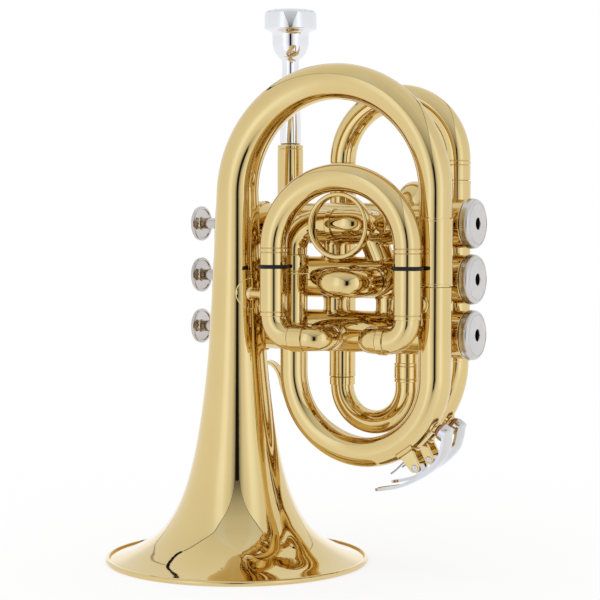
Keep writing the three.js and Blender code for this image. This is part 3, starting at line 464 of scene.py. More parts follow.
def makeBell(size):
    axis = Vector((0, size["plane"], 0))
    end = bellLine[-1]
    bow = Tube(axis + zAxis * end.x, zAxis, end.y, size["sides"])

    def ringAt(height, radius):
        return bow.ring(radius, axis + zAxis * height)

    rings = [ringAt(point.x, point.y - size["sheet"]) for point in reversed(bellLine[2:])]
    rimRadius = size["flare"][0][1] - size["beadInset"]
    first, last = size["beadTurns"]
    for k in range(size["beadSteps"] + 1):
        turn = math.pi * (first + (last - first) * k / size["beadSteps"])
        height = max(size["bead"] * (1 + math.sin(turn)), -shift.z)  # the rim rests on the floor
        rings.append(ringAt(height, rimRadius + size["bead"] * math.cos(turn)))
    rings += [ringAt(point.x, point.y) for point in bellLine[1:-1]]
    bow.arch(size["span"], xAxis, size["bowSteps"], size["bowRadii"])
    low, top, radius = size["sleeve"]
    bow.run(end.x - top - size["jointGap"]).step(size["tenon"]).run(size["tenonLength"])
    makePiece("bellSkin", skinRings(rings + bow.rings), ["bell"], bevel=0)
    at = Vector((size["span"], size["plane"], 0))
    makePiece("bellSleeve", sleeveSkin(radius, size["tenon"] + seat, low, top, at, *size["sleeveLip"]),
              ["bell_sleeve"])


makeBell(bell)
print("bell spun")

# Front bow, with its tenon in the sleeve
frontBow = {
    "left": 30.598,
    "spring": 91,
    "radii": (7.4, 6.94, 6.618, 6.434, 6.25),
    "bowSteps": 96,
    "tenonShare": 0.45,
    "joint": 135.6,
}


def makeFrontBow(size):
    low, top, _ = bell["sleeve"]
    tenon = (top - low) * size["tenonShare"]
    gap = bell["jointGap"]
    tube = Tube((bell["span"], bell["plane"], low + tenon), -zAxis, bell["tenon"])
    tube.run(tenon + gap).step(size["radii"][0]).run(low - gap - size["spring"])
    tube.arch(bell["span"] - size["left"], -xAxis, size["bowSteps"], size["radii"])
    tube.run(size["joint"] - size["spring"] - seat)
    makePiece("frontBow", tube.skin(), ["front_bow"])


# The branch from the front bow to the first valve, with a socket ring on its way
branch = {
    "sleeveTop": 143.9,
    "sleeve": 6.65,
    "lip": 0.8,
    "neck": (0.3, 0.4),
    "radius": 6.05,
    "elbow": 12,
    "ring": (49.8, 52.6, 6.8),
    "turn": 57.2,
    "tight": 7,
    "stub": 0.4,
}


def makeBranch(size):
    height, left, line = casing["heights"][0], frontBow["left"], jointLine["width"]
    sink, neck = size["neck"]
    near, far, wide = size["ring"]
    tube = Tube((left, bell["plane"], frontBow["joint"]), zAxis, size["sleeve"])
    tube.run(size["lip"]).groove().run(size["sleeveTop"] - frontBow["joint"] - size["lip"] - line)
    tube.step(size["radius"] - sink).run(neck).step(size["radius"])
    tube.run(height - size["elbow"] - tube.place.z)
    tube.bend(size["elbow"], quarterTurn, xAxis).run(near - left - size["elbow"] - line).groove()
    tube.step(wide).run(far - near - line).step(size["radius"]).groove()
    tube.run(size["turn"] - far).bend(size["tight"], quarterTurn, yAxis).run(size["stub"])
    makePiece("bellBranch", tube.meet(height).skin(), ["bell_branch"])


makeFrontBow(frontBow)
makeBranch(branch)
print("front bow and branch bent")

# Third slide with its rubber rings and finger ring
thirdSlide = {
    "plane": -37.6635,
    "left": 28.199,
    "right": 95.2,
    "spring": 147.4,
    "rise": 31.3,
    "bowSteps": 96,
    "radius": 6.2,
    "collar": 6.4,
    "collarEnd": 145.1,
    "shoulder": 139.6,
    "leg": 5.2,
    "legEnd": 118.5,
}
rubberRing = {"height": 138.8, "radius": 6.45, "section": 0.75, "steps": 16}
fingerRing = {"radius": 14.85, "band": 1.9, "depth": 5, "roundShare": 0.49, "cornerSteps": 6, "sides": 120}


def uprightSlide(size, plane):
    inside, straight = size["shoulder"] - size["legEnd"], size["collarEnd"] - size["shoulder"]
    return slideSkin(size, (size["left"], plane, size["legEnd"]), zAxis, xAxis, size["right"] - size["left"],
                     inside, straight, (size["collar"], size["spring"] - size["collarEnd"]))


def makeThirdSlide(size):
    makePiece("thirdSlide", uprightSlide(size, size["plane"]), ["third_slide"], body="third_slide_group")


def makeRubberRings(size):
    turns = [2 * math.pi * (k % size["steps"]) / size["steps"] for k in range(size["steps"] + 1)]
    radius, section = size["radius"], size["section"]
    ring = [(radius + section * math.cos(turn), section * math.sin(turn)) for turn in turns]
    for side in ("left", "right"):
        spot = Vector((thirdSlide[side], thirdSlide["plane"], size["height"]))
        makePiece(f"rubberRing.{side}", turnedSkin(ring, zAxis, spot), [f"o_ring_{side}"], "blackRubber",
                  "third_slide_group", 0)


def makeFingerRing(size):
    middle = (thirdSlide["left"] + thirdSlide["right"]) / 2
    height = thirdSlide["spring"] + thirdSlide["rise"] - thirdSlide["radius"] - seat - size["radius"]
    corner = size["band"] * size["roundShare"]
    inner, outer = size["radius"] - size["band"] + corner, size["radius"] - corner
    half = size["depth"] / 2 - corner
    line = []
    for quarter, (x, y) in enumerate(((inner, -half), (outer, -half), (outer, half), (inner, half))):
        for k in range(size["cornerSteps"] + 1):
            turn = math.pi / 2 * (quarter + 2 + k / size["cornerSteps"])
            line.append((x + corner * math.cos(turn), y + corner * math.sin(turn)))
    line.append(line[0])
    skin = turnedSkin(line, yAxis, (middle, thirdSlide["plane"], height), size["sides"])
    makePiece("fingerRing", skin, ["finger_ring"], body="third_slide_group", bevel=0)


# The third slide's two outer tubes, each with the knuckle that turns it into the third casing
thirdOuter = {
    "top": 138,
    "radius": 6.3,
    "bore": 5.55,
    "ferrule": 116.5,
    "band": 2.1,
    "knuckle": 5.65,
    "level": 106.8,
    "elbow": 9.5,
    "ringRadius": 6.15,
    "turns": (45.274, 81.767),
    "angles": (110, 90),
    "tight": 7,
    "bead": (1.1, 0.5),
}


def makeThirdOuter(size):
    length, line, elbow = size["top"] - size["ferrule"], jointLine["width"], size["elbow"]
    bore = (size["bore"], length)
    for side, inward, turn, angle in zip(("left", "right"), (xAxis, -xAxis), size["turns"], size["angles"]):
        x = thirdSlide[side]
        tube = Tube((x, thirdSlide["plane"], size["top"]), -zAxis, size["radius"], bore=bore)
        tube.run(length - size["band"]).groove().run(size["band"] - line).step(size["knuckle"])
        tube.run(size["ferrule"] - size["level"] - elbow).bend(elbow, quarterTurn, inward).groove()
        tube.step(size["ringRadius"]).run(abs(turn - x) - elbow - 2 * line).step(size["knuckle"]).groove()
        tube.bend(size["tight"], angle, yAxis).bead(*size["bead"])
        makePiece(f"thirdOuter.{side}", tube.meet(casing["heights"][2]).skin(), [f"third_outer_{side}"])


makeThirdSlide(thirdSlide)
makeRubberRings(rubberRing)
makeFingerRing(fingerRing)
makeThirdOuter(thirdOuter)
print("third slide fitted")

# Second slide, pointing forward from the second casing
secondSlide = {
    "height": 132,
    "middle": 61.121,
    "span": 15,
    "spring": -29,
    "bowSteps": 48,
    "radius": 6.25,
    "sleeveEnd": -19.8,
    "sleeve": 6.85,
    "bore": (6.1, 9),
    "lip": (1.1, 0.25),
    "neck": 0.9,
    "foot": 0.1,
    "leg": 5.75,
    "legStart": -11.75,
}


def makeSecondSlide(size):
    left = size["middle"] - size["span"] / 2
    inside = size["legStart"] - size["sleeveEnd"] + seat
    straight = size["sleeveEnd"] - seat - size["spring"]
    start = (left, size["legStart"], size["height"])
    makePiece("secondSlide", slideSkin(size, start, -yAxis, xAxis, size["span"], inside, straight),
              ["second_slide"], body="second_slide_group")
    lip, rise = size["lip"]
    for k, x in enumerate((left, left + size["span"])):
        sleeve = Tube((x, size["sleeveEnd"], size["height"]), yAxis, size["sleeve"], bore=size["bore"])
        sleeve.run(lip).step(size["sleeve"] - rise).run(size["neck"]).groove().run(size["foot"])
        makePiece(f"secondOuter.{k + 1}", sleeve.meet(casing["heights"][1]).skin(), [f"second_outer_{k + 1}"])


# First slide, pointing back: one leg straight from the first casing, one from an elbow on top of it
firstSlide = {
    "ports": (64, 77.403),
    "riser": 165,
    "riserRadius": 6.55,
    "riserStub": 1.2,
    "bend": 6.7,
    "radius": 6.2,
    "socket": 12,
    "sleeveEnd": 25,
    "lip": 1.1,
    "spring": 30.78,
    "bowSteps": 48,
    "bore": 5.45,
    "leg": 5.1,
}


def makeFirstSlide(size):
    height = casing["heights"][0]
    low = Vector((size["ports"][0], size["sleeveEnd"], height))
    high = Vector((size["ports"][1], size["sleeveEnd"], size["riser"] + size["bend"]))
    depth, bend = size["sleeveEnd"] - size["socket"], size["bend"]
    edge = size["lip"] + jointLine["width"]
    lower = Tube(low, -yAxis, size["radius"], bore=(size["bore"], depth))
    lower.run(size["lip"]).groove().run(depth - edge)
    makePiece("firstOuter.1", lower.meet(height).skin(), ["first_outer_1"])
    upper = Tube(high, -yAxis, size["radius"], bore=(size["bore"], depth))
    upper.run(size["lip"]).groove().run(size["sleeveEnd"] - bend - edge).bend(bend, quarterTurn, -zAxis)
    upper.step(size["riserRadius"]).run(size["riserStub"])
    makePiece("firstOuter.2", upper.meet(height).skin(), ["first_outer_2"])
    straight = size["spring"] - size["sleeveEnd"] - seat
    skin = slideSkin(size, (low.x, size["socket"] + seat, low.z), yAxis, (high - low).normalized(),
                     (high - low).length, depth, straight)
    makePiece("firstSlide", skin, ["first_slide"], body="first_slide_group")


makeSecondSlide(secondSlide)
makeFirstSlide(firstSlide)
print("second and first slides fitted")

# Mouthpiece: places along it are down from its rim; the cup's bowl, the rim, the wall and the shank
mouthpiece = {
    "top": 261.5,
    "bowl": ((-17.5, 1.9), (-15.5, 3.2), (-12.3, 5.6), (-9, 7.2), (-6, 7.9), (-2.6, 8.4), (-0.7, 9.3),
             (0, 10.8)),
    "rim": ((0, 10.8), (-0.6, 12.1), (-1.9, 12.75)),
    "wall": ((-8.6, 12.75), (-9.4, 12.55), (-10.3, 10.8), (-11.1, 9.5), (-12.6, 8.95), (-16.4, 8.8),
             (-18.3, 8.4), (-20.6, 7.6), (-22.7, 6.1), (-24.2, 4.4), (-28, 4.05)),
    "shank": ((-56, 5.25), (-64.2, 5.25), (-64.7, 4.6), (-86, 4.2), (-86, 3.2), (-30, 1.9)),
    "steps": {"bowl": 5, "rim": 5, "wall": 4},
    "sides": 96,
    "bevel": 0.08,
}


def makeMouthpiece(size):
    line = []
    for part, steps in size["steps"].items():
        line = line[:-1]  # a curve's last point makes way for the next one's first
        line += [(point.y, point.x) for point in smoothThrough(size[part], steps)]
    line += [(radius, along) for along, radius in size["shank"]]
    line.append(line[0])
    spot = (leadpipe["x"], leadpipe["plane"], size["top"])
    makePiece("mouthpieceSilver", turnedSkin(line, zAxis, spot, size["sides"]), ["mouthpiece"], "silverPlate",
              "mouthpiece_group", size["bevel"])


# Receiver, leadpipe and the bow under it
receiver = {
    "top": 196.5,
    "length": 36,
    "radius": 6.35,
    "mouth": 4.9,
    "root": 4.5,
    "topEdge": ((0.35, 0), (0, 0.35), (0, 1.5), (0.35, 1.6), (0.35, 2), (0, 2.1)),
    "footEdge": ((0, 2), (0.3, 1.9), (0.3, 1.5), (0, 1.4), (0, 0)),
}
leadpipe = {
    "x": 3.9,
    "plane": 19.5,
    "radius": 4.8,
    "collar": 98.802,
    "spring": 95.002,
    "bowRadii": (4.9, 5.32, 5.614, 5.782, 5.95),
    "bowSteps": 96,
}


def makeLeadpipe(size):
    at = Vector((size["x"], size["plane"], 0))
    top, radius = receiver["top"], receiver["radius"]
    foot = top - receiver["length"]
    line = [(receiver["mouth"], top), *edgeLine(receiver["topEdge"], radius, top, -1),
            *edgeLine(receiver["footEdge"], radius, foot), (receiver["root"], foot), (receiver["mouth"], top)]
    makePiece("receiverBrass", turnedSkin(line, zAxis, at), ["receiver"])
    pipe = Tube(at + zAxis * (foot - seat), -zAxis, size["radius"]).run(foot - 2 * seat - size["collar"])
    makePiece("leadpipeBrass", pipe.skin(), ["leadpipe"])
    straight = size["collar"] - size["spring"]
    bow = Tube(at + zAxis * size["collar"], -zAxis, size["bowRadii"][0]).run(straight)
    bow.arch(tuning["right"] - size["x"], xAxis, size["bowSteps"], size["bowRadii"])
    makePiece("leadpipeBow", bow.step(tuning["outer"]).run(straight).skin(), ["leadpipe_bow"])


# Main tuning slide in its two outer tubes
tuning = {
    "left": 32.998,
    "right": 92.7,
    "spring": 187.5,
    "bowSteps": 96,
    "collar": 6.45,
    "collarEnd": 185.2,
    "shoulder": 178.4,
    "radius": 6.25,
    "outer": 6.4,
    "lip": (0.12, 1.2),
    "bore": 5.65,
    "leg": 5.3,
    "legEnd": 130,
}


def makeTuningSlide(size):
    skin = uprightSlide(size, leadpipe["plane"])
    makePiece("tuningSlide", skin, ["tuning_slide"], body="tuning_slide_group")
    for side, foot in (("left", rearBow["joint"]), ("right", leadpipe["collar"])):
        at = Vector((size[side], leadpipe["plane"], 0))
        skin = sleeveSkin(size["outer"], size["bore"], foot + seat, size["shoulder"] - seat, at, *size["lip"])
        makePiece(f"tuningOuter.{side}", skin, [f"tuning_outer_{side}"])


# Rear bow, from the tuning slide up to the back of the third casing
rearBow = {
    "joint": 85,
    "spring": 81.3,
    "bowSteps": 72,
    "radius": 5.65,
    "right": 67.594,
    "sleeve": (84.1, 93, 6.25),
    "lip": 1.2,
    "bend": 8,
}


def makeRearBow(size):
    low, top, sleeve = size["sleeve"]
    height, lip, radius = casing["heights"][2], size["lip"], size["radius"]
    tube = Tube((tuning["left"], leadpipe["plane"], size["joint"]), -zAxis, sleeve)
    tube.run(size["joint"] - size["spring"]).step(radius)
    tube.arch(size["right"] - tuning["left"], xAxis, size["bowSteps"]).run(low - size["spring"]).step(sleeve)
    tube.run(lip).groove().run(top - low - 2 * (lip + jointLine["width"])).groove().run(lip).step(radius)
    tube.run(height - size["bend"] - top).bend(size["bend"], quarterTurn, -yAxis)
    makePiece("rearBow", tube.meet(height).skin(), ["rear_bow"])


makeMouthpiece(mouthpiece)
makeLeadpipe(leadpipe)
makeTuningSlide(tuning)
makeRearBow(rearBow)
print("leadpipe side fitted")

# Valve casings and their caps; the crown and the skirt are the top cap's, the rest the bottom cap's
caps = {
    "radius": 10.8,
    "top": (-14.6, -4.8),
    "crown": ((4.2, 0), (2.2, 0.25), (0.7, 1.2), (0, 2.6), (0, 3.6), (0, 3.9, 1)),
    "skirt": ((0, 1.2, 1), (0, 0.9), (0, 0)),
    "knurl": 0.22,
    "bottomFace": 112.1,
    "bottomBoss": 103.4,
    "bottomRadius": 11.25,
    "bottomKnurl": 0.12,
    "headEdge": ((0.45, 0), (0, 0.45), (0, 0.8, 1)),
    "faceEdge": ((0, 2.5, 1), (0, 2.3), (0.12, 1.45), (0.5, 0.7), (1.05, 0.22), (1.7, 0), (1.8, 0.25),
                 (2.1, 0.25), (2.2, 0.08)),
    "plate": 2.4,
    "wall": 0.75,
    "vent": 2.65,
    "ventEdge": ((-0.15, 0.08), (0, 0.4)),
    "sides": 144,
}
# sizes of the painted shade in the vents: a black cup behind each vent and a black liner in its hole
shade = {"radius": 4.75, "back": 1.6, "front": 0.4, "floor": 0.9, "clear": 0.02, "liner": 0.1, "lip": 0.45}


def makeCasing(valve, at, size):
    radius, bore, band = size["radius"], size["bore"], size["bandRadius"]
    (topStart, topEnd), (bottomStart, bottomEnd) = size["topEdges"], size["bottomEdges"]
    topLow, topHigh = size["topBand"]
    low, high = size["bottomBand"]
    line = [(bore, size["start"]), *edgeLine(topStart, band, topLow), *edgeLine(topEnd, band, topHigh, -1),
            (radius, topHigh), (radius, low), *edgeLine(bottomStart, band, low),
            *edgeLine(bottomEnd, band, high, -1), (bore, high), (bore, size["start"])]
    makePiece(f"casing.{valve}", turnedSkin(line, xAxis, at, facets["casing"]), [f"casing_{valve}"])


def makeCaps(valve, at, size):
    start, end = size["top"]
    gap, sides = button["stem"] + seat, size["sides"]
    line = [(gap, start), *edgeLine(size["crown"], size["radius"], start),
            *edgeLine(size["skirt"], size["radius"], end, -1), (gap, end), (gap, start)]
    makePiece(f"topCap.{valve}", turnedSkin(line, xAxis, at, sides, size["knurl"]), [f"top_cap_{valve}"],
              "satinPlate", bevel=0)
    face, wide, vent = size["bottomFace"], size["bottomRadius"], size["vent"]
    inside, head = face - size["plate"], casing["end"] + seat
    boss, foot = casing["bore"] - seat, size["bottomBoss"]
    hollow = boss - size["wall"]
    ventEdge = edgeLine(size["ventEdge"], vent, face, -1)
    line = [ventEdge[-1], (vent, inside), (hollow, inside), (hollow, foot), (boss, foot), (boss, head),
            *edgeLine(size["headEdge"], wide, head), *edgeLine(size["faceEdge"], wide, face, -1), *ventEdge]
    makePiece(f"bottomCap.{valve}", turnedSkin(line, xAxis, at, sides, size["bottomKnurl"]),
              [f"bottom_cap_{valve}"], "satinPlate", bevel=0)
    # a black cup behind the vent, with a black liner in the hole: painted shade for the dark inside of the
    # cap
    back, front, floor = (inside - shade[key] for key in ("back", "front", "floor"))
    hole, lip = vent - shade["clear"], face - shade["lip"]
    line = [(0, back), (shade["radius"], back), (shade["radius"], front), (hole, front), (hole, lip),
            (hole - shade["liner"], lip), (hole - shade["liner"], floor), (0, floor)]
    makePiece(f"ventShade.{valve}", turnedSkin(line, xAxis, at, facets["small"]), (), "ventPaintedShade", bevel=0)


# Valve stem and finger button: a slightly dished face, and an underside that is hollow round the stem
button = {
    "face": -36.1,
    "radius": 8.4,
    "thick": 2.3,
    "dish": 0.45,
    "faceEdge": ((2.4, 0.3), (1.5, 0), (0.7, 0), (0.15, 0.35), (0, 0.9)),
    "backEdge": ((0, 0.5), (0.25, 0.1), (0.6, 0), (1.2, 0.05), (1.45, 0.69), (2.6, 0.9775), (4, 1.15)),
    "stem": 2.65,
    "stemEnd": 1.2,
    "stemEdge": ((-0.5, 1.15), (-0.1, 0.6), (0, 0)),
    "bevel": 0.05,
}


def makeButton(valve, at, size):
    body, stem = f"valve_{valve}", size["stem"]
    under = size["face"] + size["thick"]
    line = [(0, under + seat), (stem, under + seat), (stem, size["stemEnd"]), (0, size["stemEnd"])]
    makePiece(f"stem.{valve}", turnedSkin(line, xAxis, at, facets["post"]), [f"stem_{valve}"], "brightPlate",
              body)
    line = [(0, size["face"] + size["dish"]), *edgeLine(size["faceEdge"], size["radius"], size["face"]),
            *edgeLine(size["backEdge"], size["radius"], under, -1),
            *edgeLine(size["stemEdge"], stem, under, -1), (0, under)]
    makePiece(f"fingerButton.{valve}", turnedSkin(line, xAxis, at, facets["button"]),
              [f"finger_button_{valve}"], "brightPlate", body, size["bevel"])


# Knuckles: place on the upper casing, place on the lower one, and radius
knuckles = {
    "1_2": ((38.243, 38.243, 5.3), (55.541, 68.04, 6.4)),
    "2_3": ((39.359, 39.359, 5.3), (66.812, 66.812, 5.3)),
}


def makeKnuckle(label, number, places, heights):
    # a short tube from one casing to the next, shaped to both
    upper, lower, radius = places
    top, bottom = Vector((upper, 0, heights[0])), Vector((lower, 0, heights[1]))
    heading = (bottom - top).normalized()
    tube = Tube((top + bottom) / 2, heading, radius, facets["post"])
    up, down = meetRings(tube, -heading, heights[0]), meetRings(tube, heading, heights[1])
    makePiece(f"knuckle.{label}.{number}", skinRings([*reversed(up), *down]), [f"knuckle_{label}_{number}"])


for k, height in enumerate(casing["heights"]):
    at = Vector((0, 0, height))
    makeCasing(k + 1, at, casing)
    makeCaps(k + 1, at, caps)
    makeButton(k + 1, at, button)
for k, (pair, tubes) in enumerate(knuckles.items()):
    for n, places in enumerate(tubes):
        makeKnuckle(pair, n + 1, places, casing["heights"][k:k + 2])
print("valves assembled")

# Water keys, each in the plane of its bow: heights are over the bow's tube, turns are degrees round the bow
waterKey = {
    "width": 5.4,
    "bevel": 0.1,
    # saddle: a foot wrapped over the tube, and two lugs with rounded ears
    "footLine": ((-4.6, 0.35), (-4.2, 0.75), (4.2, 0.75), (4.6, 0.35)),  # along the tube, and thickness
    "footWrap": 52,
    "footSink": 0.1,
    "pivotHeight": 6.7,
    "lugThick": 1.6,
    "lugFoot": ((3.6, 0), (3.2, 2)),
    "lugSink": 0.5,
    "ear": 2.6,
    # pivot screw: its slotted head, and its plain end
    "screwHead": 1.5,
    "slotEdge": ((1.5, -0.55), (1, -0.55), (1, -0.35), (0.5, -0.35), (0.5, -0.55), (0.3, -0.55), (0, -0.2),
                 (0, 0.1)),
    "plainEdge": ((0, 0.1), (0, -0.2), (0.3, -0.5), (1.5, -0.5)),
    "pin": 0.8,
    # lever: a bowed plate, a web, a barrel on the pin, and the cup over the cork
    "plateWidth": 9,
    "plateThick": 1.3,
    "plateCrown": 0.35,
    "plateHeights": (5.5, 6.2, 8.2, 10.3, 10.6, 10.2, 9.5),
    "plateShares": (-0.16, 0, 0.2, 0.5, 1, 1.5, 2),  # the cork at 0, the pivot at 1, the tip at 2
    "tip": (5, 5.4, 0.05),
    "web": (4.4, 2.2, 1.8),
    "barrel": 1.9,
    "barrelPlay": 0.12,
    "cup": (3.9, 6.6),
    "cupPlay": (0.1, 0.15),
    "cupDepth": 0.7,
    "cupEdge": ((0, -0.6), (0.6, 0), (1, 0.5)),
    "cork": (3.1, 1.9, 4.2),
    "corkEdge": 0.25,
    "nipple": (2.8, 1.6),
    "nippleFoot": ((-0.9, -1.4), (-0.8, 0), (-0.2, 0.3), (0, 0.7)),
    "nippleEdge": 0.2,
    "wire": 0.4,
    "wirePlaces": ((2.4, 1.34), (5.2, 1.407), (8.5, 1.876), (13, 3.149), (17, 4.154)),
}
keys = {  # the bow's middle, its round and its tube, and the turns of the pivot, the cork and the tip
    "front": {"middle": ((frontBow["left"] + bell["span"]) / 2, bell["plane"], frontBow["spring"]),
              "round": (bell["span"] - frontBow["left"]) / 2, "tube": 6.868, "turns": (-55, -31.4, -82)},
    "rear": {"middle": ((leadpipe["x"] + tuning["right"]) / 2, leadpipe["plane"], leadpipe["spring"]),
             "round": (tuning["right"] - leadpipe["x"]) / 2, "tube": 5.745, "turns": (-54.8, -34.2, -78.5)},
}
stripCuts = (-0.5, -0.42, -0.2, 0, 0.2, 0.42, 0.5)


def stripSkin(points, thick, width, crown=0.0):
    # a bent strip along points in an upright plane, its width square to it, its edges let down a little
    rings = []
    for i, point in enumerate(points):
        across = squareTo(points, i)
        here = width[i] if isinstance(width, list) else width
        outline = []
        for cuts, half in ((stripCuts, thick / 2), (reversed(stripCuts), -thick / 2)):
            outline += [point + yAxis * here * cut + across * (half - crown * (2 * cut) ** 2) for cut in cuts]
        rings.append(outline)
    return skinRings(rings)


class KeyPlace:
    # where a water key sits on its bow

    def __init__(self, side, spot):
        self.side = side
        self.middle = Vector(spot["middle"])
        self.round, self.tube = spot["round"], spot["tube"]
        self.pivot, self.cork, self.tip = spot["turns"]

    def out(self, degrees):
        return Vector((math.cos(math.radians(degrees)), 0, math.sin(math.radians(degrees))))

    def at(self, degrees, height):
        return self.middle + self.out(degrees) * (self.round + self.tube + height)


def makeSaddle(key, size):
    radial = key.out(key.pivot)
    along = Vector((-radial.z, 0, radial.x))
    middle = key.middle + radial * key.round
    steps = facets["arc"]
    turns = [math.radians(size["footWrap"] * (2 * k / steps - 1)) for k in range(steps + 1)]
    rings = []
    for length, thick in size["footLine"]:
        base = middle + along * length
        rings.append([])
        for arc, reach in ((turns, key.tube + thick), (reversed(turns), key.tube - size["footSink"])):
            rings[-1] += [base + (radial * math.cos(turn) + yAxis * math.sin(turn)) * reach for turn in arc]
    skins = [skinRings(rings)]
    ear, foot = size["ear"], size["lugFoot"]
    arc = [math.pi * (1 - k / steps) for k in range(steps + 1)]
    outline = [*((-place, height) for place, height in foot),
               *((ear * math.cos(turn), size["pivotHeight"] + ear * math.sin(turn)) for turn in arc),
               *reversed(foot)]
    near = size["width"] / 2 + seat
    outside = near + size["lugThick"]
    base = middle + radial * (key.tube - size["lugSink"])
    flat = [base + along * place + radial * height for place, height in outline]
    for y in (-1, 1):
        skins.append(skinRings([[point + yAxis * y * reach for point in flat] for reach in (near, outside)]))
    makePiece(f"{key.side}KeySaddle", joinSkins(*skins), [f"{key.side}_key_saddle"], bevel=size["bevel"])
    head = size["screwHead"]
    slot, plain = edgeLine(size["slotEdge"], head, -outside), edgeLine(size["plainEdge"], head, outside, -1)
    screw = [*slot, (size["pin"], slot[-1][1]), (size["pin"], plain[0][1]), *plain]
    skin = turnedSkin(screw, yAxis, key.at(key.pivot, size["pivotHeight"]), facets["small"])
    makePiece(f"{key.side}KeyScrew", skin, (), "nickelSilver", bevel=0)


def makeLever(key, size):
    thick, half = size["plateThick"], size["width"] / 2
    turns = [key.cork + (key.pivot - key.cork) * min(share, 1) + (key.tip - key.pivot) * max(share - 1, 0)
             for share in size["plateShares"]]
    heights = [height + thick / 2 for height in size["plateHeights"]]
    line = smoothThrough([key.at(turn, height) for turn, height in zip(turns, heights)], facets["curve"])
    steps, reach, least = size["tip"]  # both ends of the plate are rounded over this many steps
    widths = []
    for i in range(len(line)):
        tip = min(i, len(line) - 1 - i, steps)
        widths.append(size["plateWidth"] * math.sqrt(max(1 - ((steps - tip) / reach) ** 2, least)))
    webThick, webHeight, webTurn = size["web"]
    webLine = [key.at(key.pivot + turn, size["pivotHeight"] + webHeight) for turn in (-webTurn, 0, webTurn)]
    hole = size["pin"] + size["barrelPlay"]
    barrel = [(hole, -half), (size["barrel"], -half), (size["barrel"], half), (hole, half), (hole, -half)]
    cupRadius, cupTop = size["cup"]
    corkRadius, _, corkTop = size["cork"]
    sidePlay, topPlay = size["cupPlay"]
    ceiling, mouth = corkTop + topPlay, corkTop - size["cupDepth"]
    crown = edgeLine(size["cupEdge"], cupRadius, cupTop)
    cup = [(0, ceiling), (corkRadius + sidePlay, ceiling), (corkRadius + sidePlay, mouth), (cupRadius, mouth),
           *crown, (0, crown[-1][1])]
    skin = joinSkins(stripSkin(line, thick, widths, size["plateCrown"]),
                     stripSkin(webLine, webThick, size["width"]),
                     turnedSkin(barrel, yAxis, key.at(key.pivot, size["pivotHeight"]), facets["small"]),
                     turnedSkin(cup, key.out(key.cork), key.at(key.cork, 0), facets["tube"]))
    makePiece(f"{key.side}KeyLever", skin, [f"{key.side}_key_lever"], "nickelSilver", f"{key.side}_key",
              size["bevel"])


def makeCorkAndNipple(key, size):
    axis, spot, edge = key.out(key.cork), key.at(key.cork, 0), size["corkEdge"]
    radius, foot, top = size["cork"]
    cork = [(0, foot), (radius - edge, foot), (radius, foot + edge), (radius, top), (0, top)]
    makePiece(f"{key.side}KeyCork", turnedSkin(cork, axis, spot, facets["post"]), [f"{key.side}_key_cork"],
              "redCork", f"{key.side}_key", 0)
    radius, top = size["nipple"]
    edge, foot = size["nippleEdge"], edgeLine(size["nippleFoot"], radius, 0)
    nipple = [(0, foot[0][1]), *foot, (radius, top - edge), (radius - edge, top), (0, top)]
    makePiece(f"{key.side}KeyNipple", turnedSkin(nipple, axis, spot, facets["post"]), bevel=0)


def makeKeySpring(key, size):
    places = [key.at(key.pivot - turn, height) for turn, height in size["wirePlaces"]]
    line = smoothThrough(places, facets["curve"])
    turns = [2 * math.pi * k / facets["wire"] for k in range(facets["wire"])]
    rings = []
    for i, point in enumerate(line):
        ways = [yAxis * math.cos(turn) + squareTo(line, i) * math.sin(turn) for turn in turns]
        rings.append([point + way * size["wire"] for way in ways])
    makePiece(f"{key.side}KeySpring", skinRings(rings), [f"{key.side}_key_spring"], "springSteel", bevel=0)


for side, spot in keys.items():
    for makePart in (makeSaddle, makeLever, makeCorkAndNipple, makeKeySpring):
        makePart(KeyPlace(side, spot), waterKey)
print("water keys hung")

# Brace from the bell's stem to the third slide's left leg, with a thin disc laid on the stem
bellBrace = {
    "height": 126,
    "post": 2,
    "stemEdge": ((-1.1, 0.6), (-0.35, 1.2), (0, 2)),
    "flange": 7.1,
    "flangeShares": (0, 0.15, 0.3, 0.45, 0.6, 0.75, 0.88, 0.97, 1),
    "sheet": 0.45,
    "sink": 0.05,
    "rimShare": 0.6,
    "sides": 64,
    "legFlange": 3.6,
    "legEdge": ((1.6, 1.8), (0.4, 1.4), (0, 0.9), (0, -1)),
}


def stemRadius(height):
    for low, high in zip(bellLine, bellLine[1:]):
        if low.x <= height <= high.x:
            return low.y + (high.y - low.y) * (height - low.x) / (high.x - low.x)


def makeBellBrace(size):
    stemSpot = Vector((0, bell["plane"], size["height"]))
    legSpot = Vector((thirdSlide["left"], thirdSlide["plane"], size["height"]))
    along = (legSpot - stemSpot).normalized()
    across = zAxis.cross(along)
    front, behind = [], []
    for share in size["flangeShares"]:
        for rings, lift in ((front, size["sheet"]), (behind, size["sink"])):
            ring = []
            for k in range(size["sides"]):
                turn = 2 * math.pi * k / size["sides"]
                wide, tall = (size["flange"] * share * part for part in (math.cos(turn), math.sin(turn)))
                radius = stemRadius(size["height"] + tall) + lift * (size["rimShare"] if share == 1 else 1)
                deep = math.sqrt(radius ** 2 - wide ** 2)
                ring.append(stemSpot + across * wide + zAxis * tall + along * deep)
            rings.append(ring)
    leg = (legSpot - stemSpot).length - thirdOuter["radius"]
    post = [*edgeLine(size["stemEdge"], size["post"], stemRadius(size["height"])),
            *edgeLine(size["legEdge"], size["legFlange"], leg, -1)]
    post = [(0, post[0][1]), *post, (0, post[-1][1])]
    disc, post = skinRings([*behind, *reversed(front)]), turnedSkin(post, along, stemSpot, facets["post"])
    makePiece("bellBrace", joinSkins(disc, post), ["bell_brace"], bevel=0)


# Brace from the third slide's right leg to the loop
loopBrace = {"height": 123, "radius": 3.4, "edge": ((-0.5, 0), (-0.2, 0.5), (0.4, 0.8)), "sink": 0.4}


